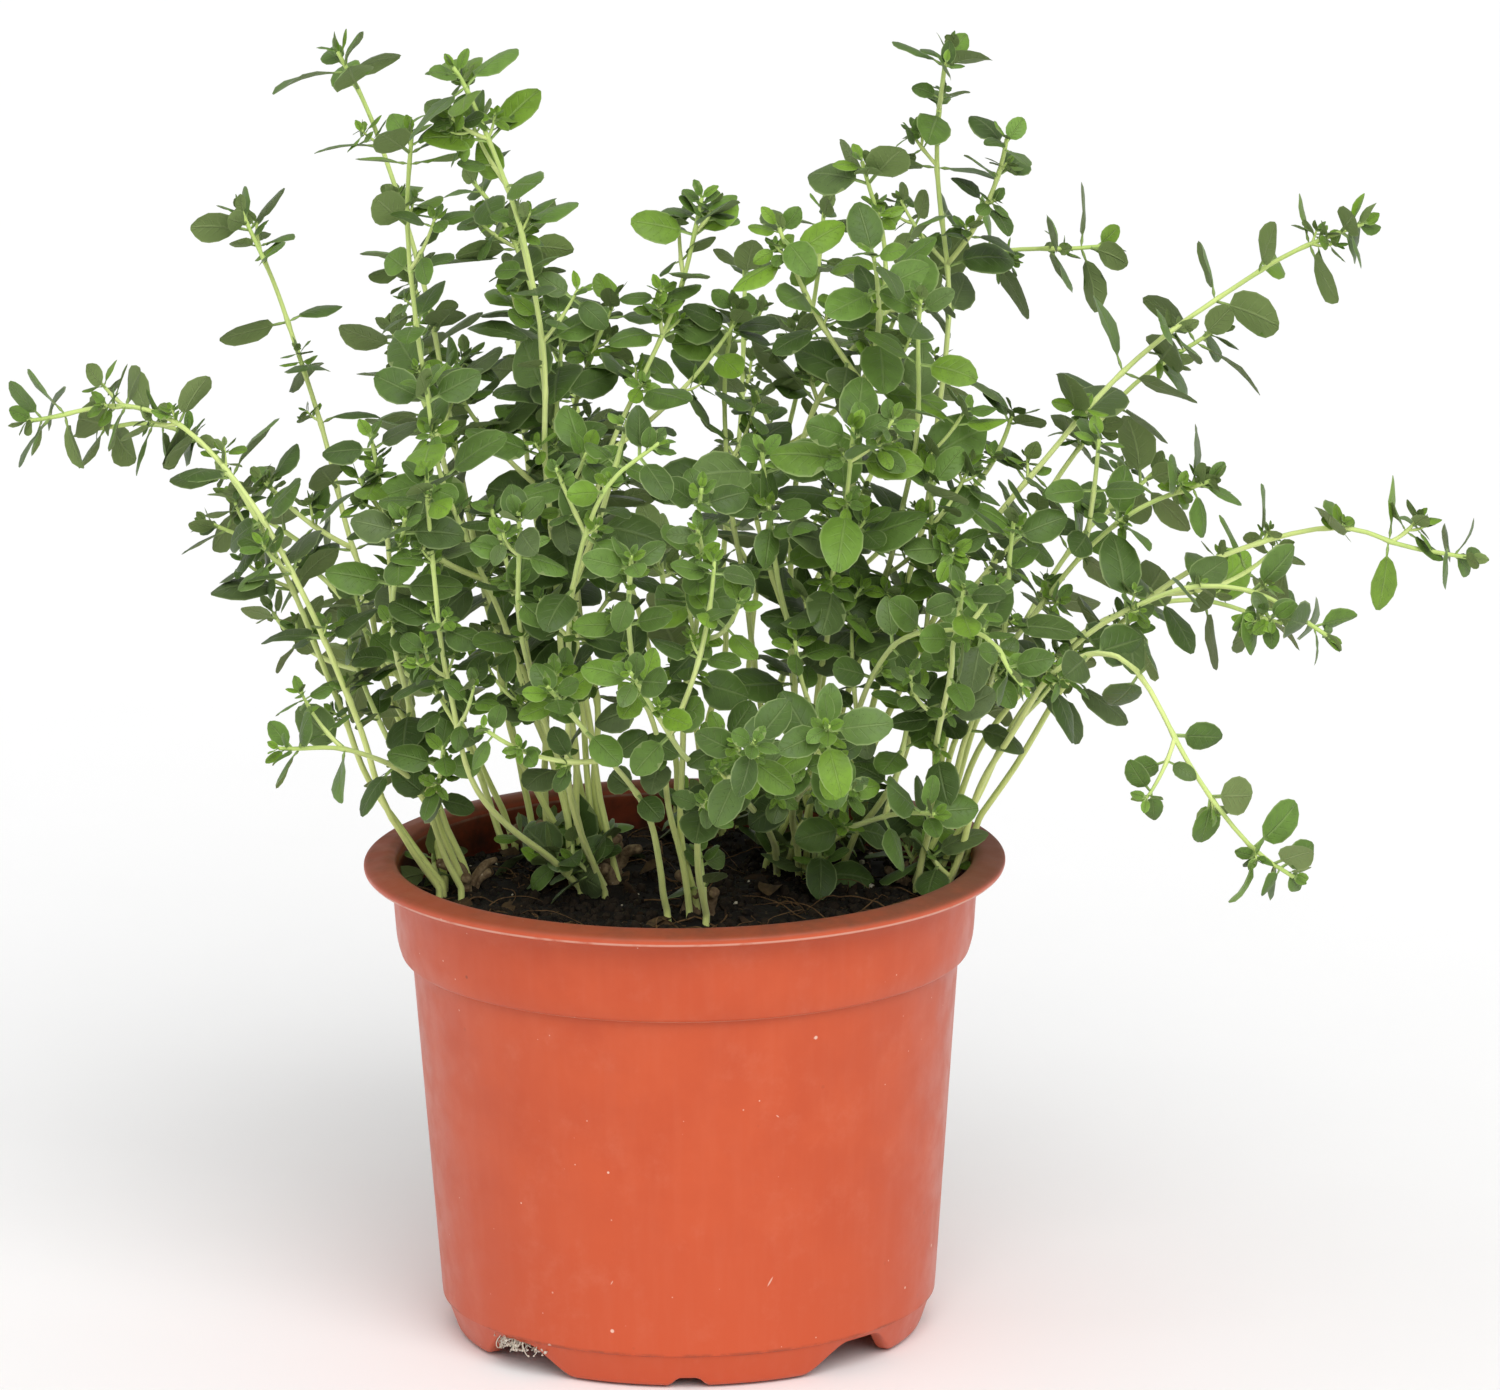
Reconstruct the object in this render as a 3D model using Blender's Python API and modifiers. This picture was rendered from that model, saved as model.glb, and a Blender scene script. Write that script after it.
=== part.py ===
"""A lemon thyme plant in a round plastic nursery pot that stands on four feet.

The pot, the potting soil and every rooted sprig are separate solids. Lengths are written in
millimetres and multiplied by MM where they reach Blender. Places are measured from the pot's axis.
"""

import math

import bmesh
import bpy
import numpy as np
from mathutils import Matrix, Vector
from mathutils.bvhtree import BVHTree

MM = 0.001
COLLECTION_NAME = "potted_lemon_thyme"
GAP = 0.35  # air between two neighbouring solids

# The pot's axis, from the part's origin, which lies on the ground below the middle of the plant.
POT_AXIS = (-12.5, 0.0)

# Pot
POT_HEIGHT = 91.0
LIP_RADIUS = 60.0
LIP_THICKNESS = 2.1
RIM_RADIUS = 55.5
BAND_TOP_RADIUS = 54.6
BAND_FOOT_RADIUS = 54.0
BAND_FOOT_HEIGHT = 75.0
BODY_TOP_RADIUS = 51.2
BODY_TOP_HEIGHT = 72.0
BODY_FOOT_RADIUS = 46.5
FOOT_TOP_RADIUS = 45.9
FOOT_RADIUS = 43.6
FOOT_HEIGHT = 6.5
FOOT_WIDTH = 2.8
WALL = 1.1
BASE_THICKNESS = 1.2
BASE_HEIGHT = 6.0
ROUND_STEPS = 40

# Cuts in the pot's base: four gaps between the feet, a notch in each foot, and drain holes
FOOT_COUNT = 4
FIRST_FOOT_ANGLE = -90.0
GAP_HALF_ANGLE_TOP = 7.0
GAP_HALF_ANGLE_GROUND = 13.0
NOTCH_HALF_WIDTH_TOP = 1.5
NOTCH_HALF_WIDTH_GROUND = 3.9
NOTCH_HEIGHT = 1.6
CUT_REACH = 6.0  # how far a cut reaches inwards and outwards from the feet's outer face
DRAIN_HOLE_RADIUS = 4.0
DRAIN_HOLE_SIDES = 12
DRAIN_RINGS = ((36.0, 45.0), (16.0, 0.0))  # radius of the ring of holes, angle of its first hole
DRAIN_HOLES_IN_RING = 4

# Soil
SOIL_EDGE_HEIGHT = 82.6
SOIL_MIDDLE_HEIGHT = 85.0
SOIL_FALL_START = 40.0  # radius at which the surface starts to fall towards the wall

# Sprigs
FOOT_LEAN = 0.25  # how far a foot stands off its crown, as a share of the way to the next point
STEM_BASE_HALF = 0.85  # half the side of the square stem, at the foot and at the tip
STEM_TIP_HALF = 0.45
SAMPLES_PER_PIECE = 12  # between two points of a row, before the even samples are taken
ROUTE_SAMPLES = 28
STEM_SPACING = 4.0  # least distance between the centre lines of two stems, at the foot and at the tip
STEM_SPACING_TIP = 3.0
SPREAD_ROUNDS = 90
SPREAD_SHARE = 0.35  # of what is missing, moved in one round
SPREAD_REACH = 2  # samples on each side that move along with a pushed one
FOOT_REACH = 49.5  # the furthest that a foot may be from the pot's axis
FOOT_BLOCK = 1.5  # height of the straight block that a stem starts from
LONGEST_STRETCH = 15.0  # between two rings of a stem
BARE_LENGTH = 30.0  # leafless length above the soil
PAIR_SPACING = 26.0
BAND_HEIGHT = 1.7  # height of the band on the stem that a pair of leaves grows from
GOLDEN_ANGLE = math.pi * (3.0 - math.sqrt(5.0))

# Leaves
LEAF_LENGTH = 11.5
LEAF_WIDTH = 7.6
LEAF_THICKNESS = 0.5
LEAF_SHOULDER = 0.5  # where a leaf is widest, as a share of its length
LEAF_TIP_SHARE = 0.5  # width of the blunt tip, as a share of the full width
LEAF_RISE = 25.0  # degrees from square to the stem, towards its tip
LEAF_RISE_AT_TIP = 25.0
YOUNG_LEAF_LOSS = 0.35  # how much shorter the leaves at the tip are
LEAF_SHARES = (1.0, 0.85, 0.7, 0.55)  # lengths and turns tried in order, until a leaf is clear
LEAF_TURNS = (0.0, 18.0, -18.0, 36.0, -36.0)

CROWNS = {
    "centre": (-14.0, 2.0),
    "left": (-40.0, 2.0),
    "right": (21.0, 17.0),
    "far_right": (43.0, 6.0),
    "front": (2.0, -17.0),
    "back": (4.0, 34.0),
    "back_left": (-28.0, 25.0),
}

# Each sprig: the side it leans to, the crown it is rooted in, and the points it passes after its foot
SPRIGS = [
    (
        "left", "left",
        [(-57, -9, 102), (-62, -14, 126), (-74, -14, 154), (-89, -9, 173), (-104, -3, 178), (-121, 0, 175)],
    ),
    (
        "left", "left",
        [(-56, 4, 100), (-65, 0, 121), (-74, 0, 145), (-86, 4, 166), (-98, 9, 172), (-110, 13, 170)],
    ),
    ("left", "left", [(-55, 14, 120), (-63, 25, 150), (-73, 32, 184), (-82, 37, 207)]),
    ("left", "left", [(-50, -6, 116), (-53, -27, 142), (-50, -46, 166)]),
    ("left", "left", [(-51, 12, 116), (-68, 24, 138), (-90, 30, 148)]),
    ("left", "left", [(-49, -12, 103), (-61, -25, 116), (-74, -33, 120)]),
    (
        "middle", "centre",
        [(-32, 12, 116), (-41, 20, 160), (-49, 26, 200), (-57, 30, 224), (-65, 32, 241)],
    ),
    ("middle", "centre", [(-27, 0, 116), (-42, -3, 162), (-49, -8, 200), (-48, -12, 234)]),
    (
        "middle", "centre",
        [(-21, -6, 122), (-24, -15, 165), (-26, -23, 206), (-36, -29, 238), (-42, -31, 249)],
    ),
    ("middle", "centre", [(-18, 8, 120), (-22, 16, 165), (-30, 21, 200), (-41, 22, 217)]),
    ("middle", "centre", [(-20, -6, 136), (-12, -9, 172), (0, -8, 200), (5, -8, 220)]),
    ("middle", "centre", [(-24, 13, 145), (-18, 17, 178), (-11, 17, 196)]),
    ("middle", "centre", [(-31, -12, 130), (-42, -28, 165), (-46, -38, 192)]),
    ("middle", "centre", [(-20, 3, 130), (-23, 2, 165), (-22, -2, 192)]),
    ("middle", "right", [(21, -8, 118), (18, -24, 150), (15, -34, 177)]),
    ("middle", "right", [(25, -8, 125), (29, -30, 158), (31, -47, 184)]),
    ("middle", "right", [(13, 10, 130), (8, 6, 168), (11, 2, 197)]),
    ("front", "front", [(0, -30, 125), (3, -50, 152), (4, -62, 174)]),
    ("front", "centre", [(-20, -28, 112), (-20, -50, 150), (-14, -60, 172), (-3, -62, 182)]),
    ("front", "front", [(-4, -36, 115), (-9, -59, 145), (-9, -77, 166)]),
    ("front", "centre", [(-24, -20, 115), (-29, -44, 145), (-29, -62, 170)]),
    ("front", "centre", [(-31, -20, 101), (-40, -32, 118), (-44, -41, 148), (-45, -45, 174)]),
    ("front", "front", [(-8, -35, 110), (-18, -54, 128), (-24, -66, 139)]),
    ("front", "right", [(14, -17, 105), (4, -43, 118), (-4, -62, 132), (-9, -76, 144)]),
    ("front", "front", [(4, -40, 108), (10, -66, 124), (13, -88, 134)]),
    ("front", "right", [(22, -20, 105), (25, -52, 122), (26, -80, 135)]),
    (
        "front", "right",
        [(24, -4, 102), (32, -20, 122), (40, -40, 141), (53, -56, 146), (62, -64, 138)],
    ),
    ("front", "far_right", [(46, -20, 112), (50, -46, 138), (51, -66, 157)]),
    ("front", "far_right", [(50, -10, 108), (58, -20, 132), (61, -32, 161)]),
    ("front", "right", [(28, -8, 96), (36, -22, 101), (46, -36, 104)]),
    ("right", "right", [(37, 16, 120), (46, 14, 155), (50, 12, 195), (48, 11, 222), (50, 10, 242)]),
    ("right", "right", [(28, 4, 134), (33, -8, 172), (38, -14, 204), (34, -16, 225)]),
    ("right", "right", [(20, 28, 120), (23, 34, 160), (37, 39, 184), (58, 42, 196), (80, 44, 197)]),
    (
        "right", "right",
        [(37, 13, 112), (56, 9, 148), (84, 10, 181), (108, 13, 198), (127, 14, 207)],
    ),
    ("right", "far_right", [(54, 22, 118), (66, 32, 148), (84, 38, 170), (101, 41, 181)]),
    ("right", "far_right", [(53, -3, 116), (66, -10, 140), (82, -15, 158), (98, -18, 166)]),
    (
        "right", "far_right",
        [(61, 3, 108), (76, 0, 129), (97, -3, 146), (120, -5, 153), (134, -5, 149), (146, -4, 147)],
    ),
    (
        "right", "far_right",
        [(58, -8, 112), (71, -18, 133), (88, -29, 147), (104, -34, 148), (118, -36, 140)],
    ),
    (
        "right", "far_right",
        [(58, -13, 111), (69, -30, 132), (81, -43, 137), (92, -51, 120), (102, -54, 104), (110, -55, 98)],
    ),
    ("right", "far_right", [(57, 13, 109), (75, 21, 127), (95, 26, 132), (113, 27, 127)]),
    ("right", "right", [(34, -2, 130), (43, -20, 172), (44, -34, 203)]),
    ("right", "right", [(40, -2, 110), (45, -13, 138), (46, -23, 168)]),
    ("back", "back", [(6, 50, 120), (11, 69, 160), (12, 82, 188)]),
    ("back", "back", [(-8, 52, 122), (-18, 74, 153), (-26, 87, 174)]),
    ("back", "back", [(20, 52, 118), (36, 72, 146), (50, 85, 163)]),
    ("back", "back", [(0, 51, 112), (-4, 72, 126), (-6, 90, 132)]),
    ("back", "back", [(14, 42, 130), (22, 50, 170), (28, 56, 203)]),
    ("back", "back_left", [(-34, 42, 120), (-46, 60, 153), (-56, 72, 177)]),
    ("back", "back_left", [(-47, 40, 112), (-68, 55, 134), (-86, 63, 146)]),
    ("back", "back_left", [(-26, 37, 130), (-31, 48, 170), (-30, 54, 203)]),
    ("back", "back_left", [(-43, 44, 104), (-56, 64, 111), (-64, 80, 108)]),
    ("back", "far_right", [(56, 26, 112), (74, 45, 138), (90, 59, 150)]),
]


def clear_scene():
    for obj in list(bpy.data.objects):
        bpy.data.objects.remove(obj, do_unlink=True)


def new_collection(name, parent):
    made = bpy.data.collections.new(name)
    parent.children.link(made)
    return made


def new_object(name, mesh, collection, material=None):
    made = bpy.data.objects.new(name, mesh)
    collection.objects.link(made)
    if material:
        mesh.materials.append(material)
    return made


def plain_material(name, color, roughness):
    material = bpy.data.materials.new(name)
    material.use_nodes = True
    shader = material.node_tree.nodes["Principled BSDF"]
    shader.inputs["Base Color"].default_value = (*color, 1.0)
    shader.inputs["Roughness"].default_value = roughness
    shader.inputs["Metallic"].default_value = 0.0
    material.diffuse_color = (*color, 1.0)
    return material


# Turned pieces


def turned(name, profile, collection, material):
    """A closed profile of (radius, height) points, turned round the pot's axis with a Screw."""
    mesh = bpy.data.meshes.new(name)
    points = [(radius * MM, 0.0, height * MM) for radius, height in profile]
    edges = [(index, index + 1) for index in range(len(points) - 1)]
    if profile[0][0] > 0.0:
        edges.append((len(points) - 1, 0))
    mesh.from_pydata(points, edges, [])
    made = new_object(name, mesh, collection, material)
    made.location = (POT_AXIS[0] * MM, POT_AXIS[1] * MM, 0.0)
    screw = made.modifiers.new("turn", "SCREW")
    screw.steps = screw.render_steps = ROUND_STEPS
    screw.use_merge_vertices = True
    screw.merge_threshold = 0.00001
    screw.use_smooth_shade = True
    return made


def arc(centre, radius, start, end, count):
    """Points on an arc in the profile's plane, at angles in degrees."""
    angles = (math.radians(start + (end - start) * step / count) for step in range(count + 1))
    return [(centre[0] + radius * math.cos(a), centre[1] + radius * math.sin(a)) for a in angles]


def pot_profile():
    """The outer side from the rim down to a foot, the base's underside, and the inner side back up."""
    edge_radius = LIP_THICKNESS / 2
    lip = arc((LIP_RADIUS - edge_radius, POT_HEIGHT - 1.3 - edge_radius), edge_radius, 80, -70, 4)
    outer = [
        (RIM_RADIUS + 0.6, POT_HEIGHT),
        *lip,
        (BAND_TOP_RADIUS + 0.8, POT_HEIGHT - LIP_THICKNESS - 1.1),
        (BAND_TOP_RADIUS, POT_HEIGHT - LIP_THICKNESS - 2.2),
        (BAND_FOOT_RADIUS, BAND_FOOT_HEIGHT),
        (BAND_FOOT_RADIUS - 1.1, BODY_TOP_HEIGHT + 0.8),
        (BODY_TOP_RADIUS, BODY_TOP_HEIGHT),
        (BODY_FOOT_RADIUS, FOOT_HEIGHT + 0.6),
        (FOOT_TOP_RADIUS, FOOT_HEIGHT),
        (FOOT_RADIUS, 0.0),
    ]
    under = [(FOOT_RADIUS - FOOT_WIDTH, 0.0), (FOOT_TOP_RADIUS - FOOT_WIDTH, BASE_HEIGHT), (0.0, BASE_HEIGHT)]
    return outer + under + [(0.0, BASE_HEIGHT + BASE_THICKNESS)] + inner_wall()


def inner_wall():
    """(radius, height) points of the pot's inside, from its base up to its rim."""
    return [
        (BODY_FOOT_RADIUS - WALL, BASE_HEIGHT + BASE_THICKNESS),
        (BODY_TOP_RADIUS - WALL, BODY_TOP_HEIGHT),
        (BAND_FOOT_RADIUS - WALL, BAND_FOOT_HEIGHT + 0.5),
        (BAND_TOP_RADIUS - WALL, POT_HEIGHT - 2.2),
        (RIM_RADIUS - 0.6, POT_HEIGHT - 0.5),
    ]


def on_ring(radius, angle):
    return POT_AXIS[0] + radius * math.cos(angle), POT_AXIS[1] + radius * math.sin(angle)


def wedge_cutter(name, angle, half_top, half_ground, height, collection):
    """A bar across the ring of feet, wider at the ground, with its top at the given height."""
    below = 2.0  # how far the bar reaches under the ground
    widen = (half_ground - half_top) / height
    mesh = bpy.data.meshes.new(name)
    grown = bmesh.new()
    bmesh.ops.create_cube(grown, size=2.0)
    for vert in grown.verts:
        z = height if vert.co.z > 0 else -below
        half = half_top if vert.co.z > 0 else half_ground + below * widen
        vert.co = Vector((CUT_REACH * vert.co.x, half * vert.co.y, z)) * MM
    grown.to_mesh(mesh)
    grown.free()
    made = new_object(name, mesh, collection)
    x, y = on_ring(FOOT_RADIUS, angle)
    made.location = (x * MM, y * MM, 0.0)
    made.rotation_euler = (0.0, 0.0, angle)
    return made


def drill(name, x, y, radius, collection):
    """An upright cylinder through the pot's base."""
    mesh = bpy.data.meshes.new(name)
    grown = bmesh.new()
    size = radius * MM
    depth = 4 * BASE_THICKNESS * MM
    bmesh.ops.create_cone(
        grown, cap_ends=True, segments=DRAIN_HOLE_SIDES, radius1=size, radius2=size, depth=depth
    )
    grown.to_mesh(mesh)
    grown.free()
    made = new_object(name, mesh, collection)
    made.location = (x * MM, y * MM, (BASE_HEIGHT + BASE_THICKNESS / 2) * MM)
    return made


def cut(target, cutter):
    cutter.hide_render = True
    cutter.display_type = "WIRE"
    boolean = target.modifiers.new(cutter.name, "BOOLEAN")
    boolean.operation = "DIFFERENCE"
    boolean.solver = "EXACT"
    boolean.object = cutter


def build_pot(parts, cutters, material):
    pot = turned("pot", pot_profile(), parts, material)
    step = 2 * math.pi / FOOT_COUNT
    gap_top = FOOT_TOP_RADIUS * math.tan(math.radians(GAP_HALF_ANGLE_TOP))
    gap_ground = FOOT_TOP_RADIUS * math.tan(math.radians(GAP_HALF_ANGLE_GROUND))
    gap = (gap_top, gap_ground, BASE_HEIGHT)
    notch = (NOTCH_HALF_WIDTH_TOP, NOTCH_HALF_WIDTH_GROUND, NOTCH_HEIGHT)
    for index in range(FOOT_COUNT):
        foot_angle = math.radians(FIRST_FOOT_ANGLE) + index * step
        cut(pot, wedge_cutter(f"foot_gap_{index}", foot_angle + step / 2, *gap, cutters))
        cut(pot, wedge_cutter(f"foot_notch_{index}", foot_angle, *notch, cutters))
    for radius, first_angle in DRAIN_RINGS:
        for index in range(DRAIN_HOLES_IN_RING):
            angle = math.radians(first_angle) + index * 2 * math.pi / DRAIN_HOLES_IN_RING
            hole_name = f"drain_{radius:.0f}_{index}"
            cut(pot, drill(hole_name, *on_ring(radius, angle), DRAIN_HOLE_RADIUS, cutters))
    return pot


def soil_height(x, y):
    """Height of the soil's surface: level in the middle, falling a little towards the wall."""
    fall = max(0.0, math.hypot(x, y) - SOIL_FALL_START) / (BAND_FOOT_RADIUS - WALL - SOIL_FALL_START)
    return SOIL_MIDDLE_HEIGHT + (SOIL_EDGE_HEIGHT - SOIL_MIDDLE_HEIGHT) * fall


def build_soil(parts, material):
    foot, body_top, band_foot, _, _ = inner_wall()
    edge_radius = band_foot[0] - GAP
    profile = [
        (0.0, SOIL_MIDDLE_HEIGHT),
        (SOIL_FALL_START, SOIL_MIDDLE_HEIGHT),
        (edge_radius, soil_height(edge_radius, 0.0)),
        (edge_radius, band_foot[1] + GAP),
        (body_top[0] - GAP, body_top[1] + GAP),
        (foot[0] - GAP, foot[1] + GAP),
        (0.0, foot[1] + GAP),
    ]
    return turned("potting_soil", profile, parts, material)


# Routes of the stems


def smooth_route(points, count):
    """Evenly spaced samples of the Catmull-Rom curve through the points."""
    points = np.asarray(points, float)
    ends = np.vstack([2 * points[0] - points[1], points, 2 * points[-1] - points[-2]])
    t = np.linspace(0.0, 1.0, SAMPLES_PER_PIECE, endpoint=False)[:, None]
    pieces = []
    for a, b, c, d in zip(ends, ends[1:], ends[2:], ends[3:]):
        cubic = 2 * b + (c - a) * t + (2 * a - 5 * b + 4 * c - d) * t**2 + (3 * b - a - 3 * c + d) * t**3
        pieces.append(cubic / 2)
    curve = np.vstack([*pieces, points[-1:]])
    along = np.concatenate([[0.0], np.cumsum(np.linalg.norm(np.diff(curve, axis=0), axis=1))])
    wanted = np.linspace(0.0, along[-1], count)
    return np.stack([np.interp(wanted, along, curve[:, axis]) for axis in range(3)], axis=1)


def foot_of(crown, first_point):
    """A stem's foot: beside its crown's middle, on the side that the stem leans to."""
    middle = np.array(CROWNS[crown])
    lean = np.array(first_point[:2], float) - middle
    x, y = middle + lean * FOOT_LEAN
    return x, y, soil_height(x, y) + GAP


def spread_routes(routes):
    """Moves stems that pass too close apart, a little at a time, and keeps their feet on the soil."""
    places = np.array(routes)
    stems, samples, _ = places.shape
    owner = np.repeat(np.arange(stems), samples)
    height = np.tile(np.linspace(0.0, 1.0, samples), stems)
    spacing = STEM_SPACING + (STEM_SPACING_TIP - STEM_SPACING) * height
    wanted = (spacing[:, None] + spacing[None, :]) / 2
    wanted[owner[:, None] == owner[None, :]] = 0.0
    for _ in range(SPREAD_ROUNDS):
        flat = places.reshape(-1, 3)
        apart = flat[:, None] - flat[None, :]
        distance = np.linalg.norm(apart, axis=2) + 1e-6
        lack = np.clip(wanted - distance, 0.0, None)
        push = (apart * (lack / distance)[:, :, None]).sum(axis=1) * SPREAD_SHARE
        push = push.reshape(stems, samples, 3)
        padded = np.pad(push, ((0, 0), (SPREAD_REACH, SPREAD_REACH), (0, 0)), mode="edge")
        window = 2 * SPREAD_REACH + 1
        push = sum(padded[:, shift : shift + samples] for shift in range(window)) * 2 / window
        push[:, 0, 2] = 0.0
        places = places + push
        reach = np.linalg.norm(places[:, 0, :2], axis=1)
        places[:, 0, :2] *= np.minimum(1.0, FOOT_REACH / reach)[:, None]
    return list(places)


def all_routes():
    routes = []
    for _, crown, points in SPRIGS:
        routes.append(smooth_route([foot_of(crown, points[0]), *points], ROUTE_SAMPLES))
    routes = spread_routes(routes)
    for route in routes:
        route[0, 2] = soil_height(*route[0, :2]) + GAP
    return routes


# Sprigs, grown by extruding the faces of a square stem


def frames_along(route, places):
    """(point, direction, side) at each distance along the route, turned as little as possible."""
    steps = np.linalg.norm(np.diff(route, axis=0), axis=1)
    along = np.concatenate([[0.0], np.cumsum(steps)])
    frames = []
    side = Vector((1.0, 0.0, 0.0))
    for place in places:
        ahead, here, behind = (
            Vector([np.interp(at, along, route[:, axis]) for axis in range(3)])
            for at in (place + 2.0, place, place - 2.0)
        )
        direction = (ahead - behind).normalized() if place > 0.0 else Vector((0.0, 0.0, 1.0))
        side = (side - direction * side.dot(direction)).normalized()
        frames.append((here, direction, side))
    return frames


def stations(length):
    """Distances of the stem's rings, and the indices of the rings that end a band with leaves on it."""
    pairs = max(2, round((length - BARE_LENGTH) / PAIR_SPACING) + 1)
    spacing = (length - BARE_LENGTH - BAND_HEIGHT) / (pairs - 1)
    places = [0.0, FOOT_BLOCK]
    bands = []
    for pair in range(pairs):
        start = BARE_LENGTH + pair * spacing
        reach = start - places[-1]
        extra = int(reach / LONGEST_STRETCH)
        places += [places[-1] + reach / (extra + 1) * (step + 1) for step in range(extra)]
        places += [start, start + BAND_HEIGHT]
        bands.append(len(places) - 1)
    return places, bands


def extrude(grown, face, middle, first, second, half_first, half_second):
    """Extrudes a quad and sets its corners round a new middle, each on the side where it was."""
    old_middle = face.calc_center_median()
    made = bmesh.ops.extrude_discrete_faces(grown, faces=[face])["faces"][0]
    for vert in made.verts:
        offset = vert.co - old_middle
        a = math.copysign(half_first, offset.dot(first))
        b = math.copysign(half_second, offset.dot(second))
        vert.co = (middle + first * a + second * b) * MM
    return made


class Leaf:
    """A flat leaf that grows out of one face of a band, narrow at both ends."""

    def __init__(self, face, direction, side, share_of_length, rise, turn):
        side = Matrix.Rotation(turn, 3, direction) @ side
        self.face = face
        self.root = face.calc_center_median() / MM
        self.out = side * math.cos(rise) + direction * math.sin(rise)
        self.across = direction.cross(side)
        self.up = self.out.cross(self.across)
        if self.up.dot(direction) < 0.0:
            self.up.negate()
        length = LEAF_LENGTH * share_of_length
        half = LEAF_WIDTH / 2 * share_of_length
        self.sections = [
            (self.root + self.out * (length * LEAF_SHOULDER), half),
            (self.root + self.out * length, half * LEAF_TIP_SHARE),
        ]

    def tree(self):
        """The leaf with GAP of air round it, as a tree to test against its neighbours."""
        near = self.root + self.out * 1.0
        sections = [(near, STEM_BASE_HALF), *self.sections]
        sections[-1] = (sections[-1][0] + self.out * GAP, sections[-1][1])
        points = []
        for middle, half in sections:
            for a, b in ((1, 1), (-1, 1), (-1, -1), (1, -1)):
                wide, deep = half + GAP, LEAF_THICKNESS / 2 + GAP
                points.append((middle + self.across * (wide * a) + self.up * (deep * b)) * MM)
        faces = [(0, 1, 2, 3), (8, 9, 10, 11)]
        for start in (0, 4):
            for step in range(4):
                after = (step + 1) % 4
                faces.append((start + step, start + after, start + 4 + after, start + 4 + step))
        return BVHTree.FromPolygons(points, faces)

    def grow(self, grown):
        face = self.face
        for middle, half in self.sections:
            face = extrude(grown, face, middle, self.across, self.up, half, LEAF_THICKNESS / 2)


class Sprig:
    """One rooted stem. It grows upwards from a square foot, and its leaves grow from its bands."""

    def __init__(self, name, route, turn):
        self.name = name
        self.mesh = bmesh.new()
        self.pairs = []
        length = float(np.linalg.norm(np.diff(route, axis=0), axis=1).sum())
        places, bands = stations(length)
        frames = frames_along(route, places)
        top = self.foot_block(frames[0], frames[1], turn)
        for index in range(2, len(places)):
            share = places[index] / length
            half = STEM_BASE_HALF + (STEM_TIP_HALF - STEM_BASE_HALF) * share
            point, direction, side = frames[index]
            first = Matrix.Rotation(turn, 3, direction) @ side
            second = direction.cross(first)
            top = extrude(self.mesh, top, point, first, second, half, half)
            if index in bands:
                across_turn = len(self.pairs) % 2
                grow_side = second if across_turn else first
                self.pairs.append((self.band_faces(top, grow_side), direction, grow_side, share))
        self.tree = BVHTree.FromBMesh(self.mesh)

    def foot_block(self, low_frame, high_frame, turn):
        """The level foot on the soil, as a cube whose corners are moved. Gives its top face."""
        bmesh.ops.create_cube(self.mesh, size=2.0)
        for vert in self.mesh.verts:
            point, direction, side = high_frame if vert.co.z > 0 else low_frame
            first = Matrix.Rotation(turn, 3, direction) @ side
            second = direction.cross(first)
            vert.co = (point + (first * vert.co.x + second * vert.co.y) * STEM_BASE_HALF) * MM
        self.mesh.normal_update()
        return max(self.mesh.faces, key=lambda face: face.calc_center_median().z)

    def band_faces(self, top, grow_side):
        """The two faces of the band below its top that look along grow_side and against it."""
        middle = top.calc_center_median()
        around = [face for edge in top.edges for face in edge.link_faces if face is not top]
        around.sort(key=lambda face: (face.calc_center_median() - middle).dot(grow_side))
        return [(around[-1], 1.0), (around[0], -1.0)]

    def grow_leaves(self, others):
        """Grows each leaf as long as it can be without coming within GAP of a neighbour."""
        own = []
        for faces, direction, grow_side, share in self.pairs:
            rise = math.radians(LEAF_RISE + LEAF_RISE_AT_TIP * share**3)
            young = 1.0 - YOUNG_LEAF_LOSS * share**2
            for face, sign in faces:
                leaf = self.first_clear_leaf(face, direction, grow_side * sign, young, rise, others + own)
                if leaf:
                    own.append(leaf.tree())
                    leaf.grow(self.mesh)
        self.tree = BVHTree.FromBMesh(self.mesh)

    @staticmethod
    def first_clear_leaf(face, direction, side, young, rise, trees):
        for share in LEAF_SHARES:
            for turn in LEAF_TURNS:
                leaf = Leaf(face, direction, side, share * young, rise, math.radians(turn))
                tested = leaf.tree()
                if not any(tested.overlap(tree) for tree in trees):
                    return leaf
        return None

    def finish(self, collection, material):
        mesh = bpy.data.meshes.new(self.name)
        self.mesh.to_mesh(mesh)
        self.mesh.free()
        made = new_object(self.name, mesh, collection, material)
        made.location = (POT_AXIS[0] * MM, POT_AXIS[1] * MM, 0.0)
        return made


def tree_of(obj):
    """A tree of the object's finished mesh, in its own coordinates."""
    graph = bpy.context.evaluated_depsgraph_get()
    return BVHTree.FromObject(obj, graph)


def build_sprigs(solids, collection, material):
    """All the stems first, and then the leaves of one sprig after another."""
    numbers = {}
    sprigs = []
    for index, ((place, _, _), route) in enumerate(zip(SPRIGS, all_routes())):
        numbers[place] = numbers.get(place, 0) + 1
        sprigs.append(Sprig(f"sprig_{place}_{numbers[place]:02d}", route, index * GOLDEN_ANGLE))
    fixed = [tree_of(solid) for solid in solids]
    for sprig in sprigs:
        sprig.grow_leaves(fixed + [other.tree for other in sprigs if other is not sprig])
    for sprig in sprigs:
        sprig.finish(collection, material)


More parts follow.
